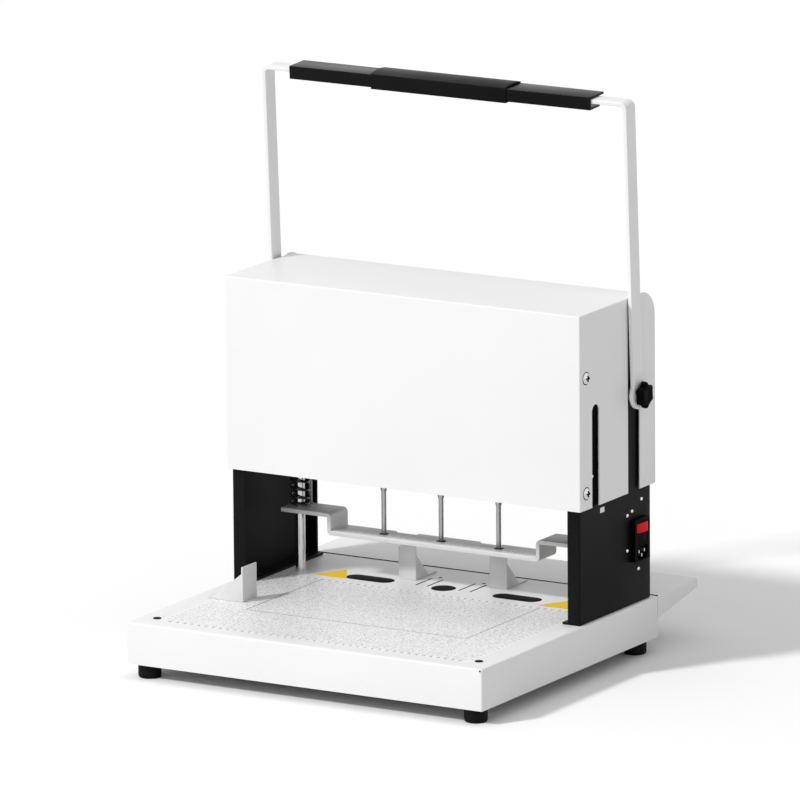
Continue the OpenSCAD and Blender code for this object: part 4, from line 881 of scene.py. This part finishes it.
def frame_heads(bright):
    """Domed heads for the small screws of the web, the top beam and the deck."""
    bm = bmesh.new()
    for lo, hi in islands("frame_screws"):
        mid, size = (lo + hi) / 2, hi - lo
        if size.y > size.x:
            seat = (mid.x, hi.y - DECK_HEAD * MM, mid.z)
            screw_shank(bm, DECK_SHANK_R, DECK_SHANK, seat, "y")
            button(bm, seat, "y", 1, radius=4.0, height=2.4, socket=1.3)
            continue
        sign = 1 if mid.x > 0 else -1
        head_r = size.z / 2 / MM
        height = ((hi.x if sign > 0 else -lo.x) - WEB_X) / MM
        seat = (sign * WEB_X, mid.y, mid.z)
        screw_shank(bm, head_r * 0.55, WEB_SHANK, seat, "x", sign)
        button(bm, seat, "x", sign, head_r, height + 0.5, head_r * 0.35)
    put("frame_screws_finish", to_mesh(bm, "frame_screws_finish"), bright, "zinc_sheet", "base",
        "frame_screws")


# Cover screws in their cup washers, with painted shade in their recesses and a painted shadow ring round
# each washer, in millimetres
CUP_R = 7.0
CUP_SHANK_R = 2.5
COVER_HEAD = 1.5
SHADE_RING_IN = 7.05
SHADE_RING_OUT = 7.9
SHADE_RING_SUNK = 0.2
SHADE_RING_PROUD = 0.25
CROSS_LONG = 3.6
CROSS_WIDE = 1.1
CROSS_DEPTH = (2.2, 3.26)
SIDE_ZONE = 8.0


def cup_screw(bm, seat, axis, sign, reach):
    """A cover screw in its cup washer, with a cross recess."""
    profile = [(CORE, -SEAT_SUNK), (CUP_R, -SEAT_SUNK), (CUP_R, 0.3)]
    profile += arc((6.0, 0.3), 0.9, 15, 95, 6) + [(5.5, 1.1), (5.2, 0.9), (5.1, 1.1)]
    profile += arc((0, -4.3), 7.5, 47, 78, 8)
    profile += [(1.2, 1.2), (CORE, 1.1)]
    turn(bm, profile, seat, axis, flip=sign < 0, steps=40)
    screw_shank(bm, CUP_SHANK_R, reach, seat, axis, sign, steps=24)


def cross_marks(bm, seat, axis, sign):
    """Dark blocks at the bottom of a screw's cross recess: painted shade for the recess."""
    deep, flat = (0, 1) if axis == "x" else (1, 0)
    for long, wide in ((CROSS_LONG, CROSS_WIDE), (CROSS_WIDE, CROSS_LONG)):
        near, far = sorted(seat[deep] + sign * depth * MM for depth in CROSS_DEPTH)
        lo, hi = [0.0, 0.0, seat[2] - wide * MM], [0.0, 0.0, seat[2] + wide * MM]
        lo[deep], hi[deep] = near, far
        lo[flat], hi[flat] = seat[flat] - long * MM, seat[flat] + long * MM
        box_piece(bm, lo, hi)


def cover_heads(bright, dark):
    """The cover screws: those of the sides point along X, those of the rear along Y. Their recesses and a
    ring round each washer are dark pieces of painted shade.
    """
    metal, marks = bmesh.new(), bmesh.new()
    for lo, hi in islands("cover_screws"):
        mid, size = (lo + hi) / 2, hi - lo
        along = "x" if size.x < size.y and abs(mid.x) > HALF_W - SIDE_ZONE * MM else "y"
        if along == "x":
            sign = 1 if mid.x > 0 else -1
            seat = (sign * HALF_W, mid.y, mid.z)
            reach = size.x / MM - COVER_HEAD
        else:
            sign = 1
            seat = (mid.x, hi.y - COVER_HEAD * MM, mid.z)
            reach = size.y / MM - COVER_HEAD
        cup_screw(metal, seat, along, sign, reach)
        cross_marks(marks, seat, along, sign)
        # A dark ring round the cup washer: a painted shadow at the washer's edge.
        ring = [(SHADE_RING_IN, -SHADE_RING_SUNK), (SHADE_RING_OUT, -SHADE_RING_SUNK), (SHADE_RING_OUT, SHADE_RING_PROUD),
                (SHADE_RING_IN, SHADE_RING_PROUD)]
        turn(marks, ring, seat, along, flip=sign < 0, steps=40)
    put("cover_screws_finish", to_mesh(metal, "cover_screws_finish"), bright, "chrome", "base",
        "cover_screws")
    put("cover_screw_shade", to_mesh(marks, "cover_screw_shade"), dark, "black_sheet",
        "base")


PIN_PLACE = (HALF_W - 0.2 * MM, 4.4 * MM, 247.6 * MM)
PIN_R = 1.9
PIN_SHANK = 4.0


def slot_pin(bright):
    """The bright pin at the front edge of the right side's slot."""
    bm = bmesh.new()
    profile = [(CORE, -PIN_SHANK), (PIN_R, -PIN_SHANK), (PIN_R, 0.2), (CORE, 0.2)]
    turn(bm, profile, PIN_PLACE, "x", steps=20)
    button(bm, PIN_PLACE, "x", 1, radius=2.0, height=1.2, socket=0.4)
    put("slot_pin", to_mesh(bm, "slot_pin"), bright, "chrome", "base")


PRESS_WIRE = 2.5 * MM
PRESS_TURNS = {"turns": 8.1, "closed": 0.9}
RETURN_WIRE = 1.6 * MM
RETURN_TURNS = {"turns": 24, "closed": 1.5, "steps": 24}


def wound(node, center, wire, material, body, sides=16, **turns):
    """A coil spring that stands for a node, as wide and as high as the node's box."""
    lo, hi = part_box(node)
    radius = (hi.x - lo.x) / 2 - wire / 2
    path = coil(center, radius, wire, lo.z + wire / 2, hi.z - wire / 2, **turns)
    bm = bmesh.new()
    tube(bm, path, wire / 2, sides)
    mesh = to_mesh(bm, node + "_finish")
    return put(node + "_finish", mesh, material, "spring_steel", body, node)


def springs(metal):
    """Two springs that press the plate down, and two that lift the carriage."""
    for side, start in (("left", math.pi), ("right", 0.0)):
        node = "press_spring_" + side
        lo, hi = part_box(node)
        center = ((lo.x + hi.x) / 2, DRILL_Y)
        obj = wound(node, center, PRESS_WIRE, metal, "carriage", start=start, **PRESS_TURNS)
        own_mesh(obj)

        node = "return_spring_" + side
        lo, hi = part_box(node)
        center = ((lo.x + hi.x) / 2, (lo.y + hi.y) / 2)
        obj = wound(node, center, RETURN_WIRE, metal, None, sides=12, **RETURN_TURNS)
        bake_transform(obj, "base", "carriage", start=(*center, hi.z), end=(*center, lo.z))


# Drills and their chucks, in millimetres
SHANK_DROP = 22.0
BORE_GAP = 0.3
SIDES = ("left", "center", "right")


def drills(metal, steel):
    """Hollow drills with a thicker shank, and the chucks that hold them."""
    for side in SIDES:
        lo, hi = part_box("drill_bit_" + side)
        x, z0, z1 = (lo.x + hi.x) / 2, lo.z / MM, hi.z / MM
        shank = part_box("spindle_left")[0].z / MM - SHANK_DROP
        profile = [(2.15, z0), (2.95, z0 + 1.4), (3.0, z0 + 2.2), (3.0, shank - 2.4),
                   (3.2, shank - 1.6), (3.9, shank - 0.3), (4.0, shank), (4.0, z1),
                   (2.0, z1), (2.0, z0)]
        bm = bmesh.new()
        turn(bm, profile, (x, DRILL_Y, 0), steps=48)
        name = "drill_bit_" + side
        put(name + "_finish", to_mesh(bm, name), metal, "drill_steel", BODY[name], name)

        name = "spindle_" + side
        lo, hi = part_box(name)
        z0, z1 = lo.z / MM, hi.z / MM
        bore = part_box("drill_bit_" + side)[1].z / MM + BORE_GAP
        profile = [(4.05, z0), (8.6, z0), (9.2, z0 + 0.5), (12.2, z0 + 4.2), (13, z0 + 5.2),
                   (13, z0 + 7.0), (12.5, z0 + 7.4), (12.5, z0 + 8.2), (13, z0 + 8.6),
                   (13, z0 + 21), (12.5, z0 + 21.4), (12.5, z0 + 22.2), (13, z0 + 22.6),
                   (13, z0 + 26), (12.3, z0 + 26.7), (5, z0 + 26.7), (5, z1 - 0.5),
                   (4.5, z1), (0.05, z1), (0.05, bore), (4.05, bore)]
        bm = bmesh.new()
        turn(bm, profile, (x, DRILL_Y, 0), steps=64)
        put(name + "_finish", to_mesh(bm, name), steel, "machined_steel", BODY[name], name)


# The motors' cooling grooves, in millimetres
GROOVES = 9
GROOVE_STEP = 8
GROOVE_FIRST = 12
GROOVE_DEEP = 1.2
MOTOR_CAP = 8


def motors(paint):
    """Grooved round housings on the carriage plate."""
    plate_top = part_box("carriage_plate")[1].z / MM
    for side in SIDES:
        name = "motor_" + side
        lo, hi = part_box(name)
        x, r = (lo.x + hi.x) / 2, (hi.x - lo.x) / 2 / MM
        z0, z1 = lo.z / MM, hi.z / MM
        top = z1 - MOTOR_CAP
        profile = [(5.05, z0), (16.2, z0), (17, z0 + 0.8), (17, plate_top), (r - 1, plate_top),
                   (r, plate_top + 1)]
        for k in range(GROOVES):
            z = plate_top + GROOVE_FIRST + GROOVE_STEP * k
            profile += [(r, z), (r - GROOVE_DEEP, z + 0.6), (r - GROOVE_DEEP, z + 3.0),
                        (r, z + 3.6)]
        profile += [(r, top - 1), (r - 1, top), (r - 4.5, top), (r - 5, z1 - 1.2),
                    (r - 6.2, z1), (5.05, z1)]
        bm = bmesh.new()
        turn(bm, profile, (x, DRILL_Y, 0), steps=64)
        put(name + "_finish", to_mesh(bm, name), paint, "motor_housing", BODY[name], name)


# The star knobs, in millimetres and degrees
KNOB_R = 16.5
KNOB_LOBES = 6
KNOB_WAVE = 4.0
KNOB_POWER = 0.8
KNOB_STEPS = 24
KNOB_PHASE = 93.4
KNOB_NECK = 2.0


def star(bm, profile, center, sign):
    """A lobed knob along X; the profile is (radius at a lobe, height, share of the lobes)."""
    steps = KNOB_LOBES * KNOB_STEPS
    rings = []
    for radius, height, share in profile:
        ring = []
        for k in range(steps):
            a = 2 * math.pi * k / steps
            wave = 0.5 - 0.5 * math.cos(KNOB_LOBES * (a - math.radians(KNOB_PHASE)))
            r = radius - KNOB_WAVE * share * wave ** KNOB_POWER
            spot = Vector((sign * height, r * math.cos(a), r * math.sin(a)))
            ring.append(bm.verts.new(spot * MM + center))
        rings.append(ring)
    for low, high in zip(rings, rings[1:] + rings[:1]):
        for k in range(steps):
            n = (k + 1) % steps
            bm.faces.new((low[k], low[n], high[n], high[k]))


def knobs(black):
    """A lobed knob at each eye of the lever, with a ring turned in its face."""
    for side, sign in (("left", -1), ("right", 1)):
        name = "star_knob_" + side
        lo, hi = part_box(name)
        t = (hi.x - lo.x) / MM
        low, r = KNOB_NECK, KNOB_R
        seat = lo.x if sign > 0 else hi.x
        center = Vector((seat, (lo.y + hi.y) / 2, (lo.z + hi.z) / 2))
        profile = [(5.1, 0, 0), (9.0, 0, 0), (9.0, low, 0), (r - 1.0, low, 1),
                   (r - 0.3, low + 0.3, 1), (r, low + 1.0, 1), (r, t - 2.8, 1),
                   (r - 0.4, t - 1.8, 1), (r - 1.4, t - 1.0, 1), (r - 2.6, t - 0.5, 0.7),
                   (r - 4.4, t - 0.1, 0.2), (10.6, t, 0), (8.6, t, 0), (8.2, t - 0.5, 0),
                   (7.8, t, 0), (7.0, t, 0), (6.4, t - 0.3, 0), (0.05, t - 0.3, 0),
                   (0.05, t - 0.8, 0), (5.1, t - 0.8, 0)]
        bm = bmesh.new()
        star(bm, profile, center, sign)
        put(name + "_finish", to_mesh(bm, name), black, "black_plastic", BODY[name], name)


def fasteners(zinc, bright):
    for node in ("foot_screws", "stop_screws", "guide_rod_nuts"):
        rounded(node, zinc, "zinc_sheet", small=0.35, segments=2)
    for node in ("bottom_plate", "guide_bushes", "cover_spacers"):
        kept(node, zinc)
    frame_heads(bright)


def machine_parts(steel, chrome, press, board, rubber, nylon, magnet):
    for node in ("cross_shaft", "pinion_left", "pinion_right", "racks", "carriage_plate",
                 "hanger_rods", "shaft_bearings"):
        rounded(node, steel, "machined_steel", small=0.25, segments=2)
    kept("guide_rods", chrome)
    rounded("press_plate", press, "press_steel", small=0.35, segments=3)
    kept("control_board", board)
    rounded("rubber_feet", rubber, "rubber", small=0.3, segments=2)
    for side in SIDES:
        rounded("drill_pad_" + side, nylon, "pad_plastic", small=0.4, segments=2)
    rounded("side_stop_magnet", magnet, "magnet", small=0.4, segments=2)


def stops(paint):
    for node in ("rear_stop_left", "rear_stop_right", "side_stop"):
        rounded(node, paint, "stop_steel", small=0.3, segments=2)


def inlet(black, metal, red):
    rounded("power_inlet", black, "black_plastic", small=0.35, segments=3)
    rounded("fuse_drawer", black, "black_plastic", small=0.35, segments=2)
    # The pins' material has a painted highlight on their ends and painted shade on their sides.
    rounded("inlet_pins", metal, "inlet_metal", small=0.3, segments=2)
    rounded("rocker_switch", red, "red_plastic", small=0.5, segments=3)
    rounded("table_plugs", black, "black_plastic", small=0.3, segments=3)
    rounded("press_bushes", black, "black_plastic", small=0.3, segments=2)


def lever(white, grip, sleeve):
    rounded("handle_frame", white, "lever_metal", small=0.7, segments=3)
    rounded("grip_channel", grip, "grip_black", small=0.7, segments=3)
    rounded("grip_sleeve", sleeve, "grip_sleeve", small=0.7, segments=3)


# -------------------------------------------------------------------- stage


def stage():
    """A white floor, a little darker to the light that it throws back on the machine."""
    mat, tree, shader = start_material("floor_white", specular=0.0)
    seen = add(tree, "LightPath", {}).outputs["Is Camera Ray"]
    cloud = spread(tree, noise(tree, place_of(tree), 0.4), 0.0, 1.0)
    shown = mix(tree, cloud, shade(FLOOR_SEEN, FLOOR_DRIFT), FLOOR_SEEN)
    tree.links.new(mix(tree, seen, FLOOR_BOUNCE, shown), shader.inputs["Base Color"])
    shader.inputs["Roughness"].default_value = 1.0
    mesh = bpy.data.meshes.new("floor")
    half = FLOOR_SIZE / 2
    corners = [(-half, -half, 0), (half, -half, 0), (half, half, 0), (-half, half, 0)]
    mesh.from_pydata(corners, [], [(0, 1, 2, 3)])
    floor = bpy.data.objects.new("floor", mesh)
    mesh.materials.append(mat)
    bpy.context.scene.collection.objects.link(floor)


def sky():
    """A white world: as bright as the background to the camera and in gloss, softer as light."""
    world = bpy.data.worlds.new("studio")
    bpy.context.scene.world = world
    world.use_nodes = True
    tree = world.node_tree
    back = tree.nodes["Background"]
    toward = add(tree, "TexCoord", {}).outputs["Generated"]
    slope = add(tree, "VectorMath", {0: toward, 1: SKY_SLOPE}, operation="DOT_PRODUCT")
    soft = calc(tree, "ADD", SKY_STRENGTH, slope.outputs["Value"])
    rays = add(tree, "LightPath", {})
    seen = calc(tree, "MAXIMUM", rays.outputs["Is Camera Ray"],
                calc(tree, "MAXIMUM", rays.outputs["Is Glossy Ray"],
                     rays.outputs["Is Transmission Ray"]))
    more = calc(tree, "MULTIPLY", seen, calc(tree, "SUBTRACT", 1.0, soft))
    back.inputs["Color"].default_value = (1.0, 1.0, 1.0, 1.0)
    tree.links.new(calc(tree, "ADD", soft, more), back.inputs["Strength"])


def key_light():
    """One soft sun from the front left."""
    lamp = bpy.data.lights.new("key", "SUN")
    lamp.energy = KEY_STRENGTH
    lamp.angle = math.radians(KEY_ANGLE)
    obj = bpy.data.objects.new("key", lamp)
    obj.rotation_euler = Vector(KEY_TRAVEL).to_track_quat("-Z", "Y").to_euler()
    obj.location = KEY_PLACE
    bpy.context.scene.collection.objects.link(obj)


def camera():
    """The photograph's camera: it looks at the target, moved sideways and up."""
    az, el, roll = (math.radians(a) for a in (AZIMUTH, ELEVATION, ROLL))
    back = Vector((math.sin(az) * math.cos(el), -math.cos(az) * math.cos(el), math.sin(el)))
    right = Vector((math.cos(az), math.sin(az), 0.0))
    up = back.cross(right)
    turned_right = right * math.cos(roll) + up * math.sin(roll)
    turned_up = up * math.cos(roll) - right * math.sin(roll)
    data = bpy.data.cameras.new("camera")
    data.lens = FOCAL_MM
    data.sensor_width = SENSOR_MM
    data.sensor_fit = "HORIZONTAL"
    data.clip_start = CLIP_START
    data.clip_end = CLIP_END
    obj = bpy.data.objects.new("camera", data)
    spot = Vector(TARGET) + back * DISTANCE + right * SIDE_STEP + up * UP_STEP
    turn_to = Matrix((turned_right, turned_up, back)).transposed().to_4x4()
    obj.matrix_world = Matrix.Translation(spot) @ turn_to
    bpy.context.scene.collection.objects.link(obj)
    bpy.context.scene.camera = obj


def dress():
    """Makes every material and every piece of the machine."""
    white, black, bright = made("white_paint"), made("black_paint"), made("bright_screw")
    moulded, steel, dark = made("moulded_black"), made("turned_metal"), made("painted_shade_black")
    white_sheets(white)
    black_sheets(black)
    table_print(table_ink())
    border_numbers(made("number_ink"))
    seam_strip(dark)
    slot_liners(dark)
    corner_patches(made("yellow_patch"))
    corner_mark(dark)
    web_patch(made("white_patch"))
    slot_seals(dark)
    slot_pin(bright)
    fasteners(zinc_metal(), bright)
    cover_heads(bright, dark)
    springs(made("spring_wire"))
    drills(made("drill_metal"), steel)
    motors(made("motor_paint"))
    knobs(moulded)
    machine_parts(steel, made("rod_chrome"), made("press_metal"), board_green(),
                  made("foot_rubber"), made("pad_nylon"), made("magnet_metal"))
    stops(made("stop_paint"))
    inlet(moulded, pin_metal(), made("rocker_red"))
    lever(made("lever_paint"), made("grip_paint"), made("sleeve_rubber"))
    kept("scale_strip", scale_ink())


camera()
stage()
sky()
key_light()
dress()

bpy.context.scene.view_settings.view_transform = "Standard"
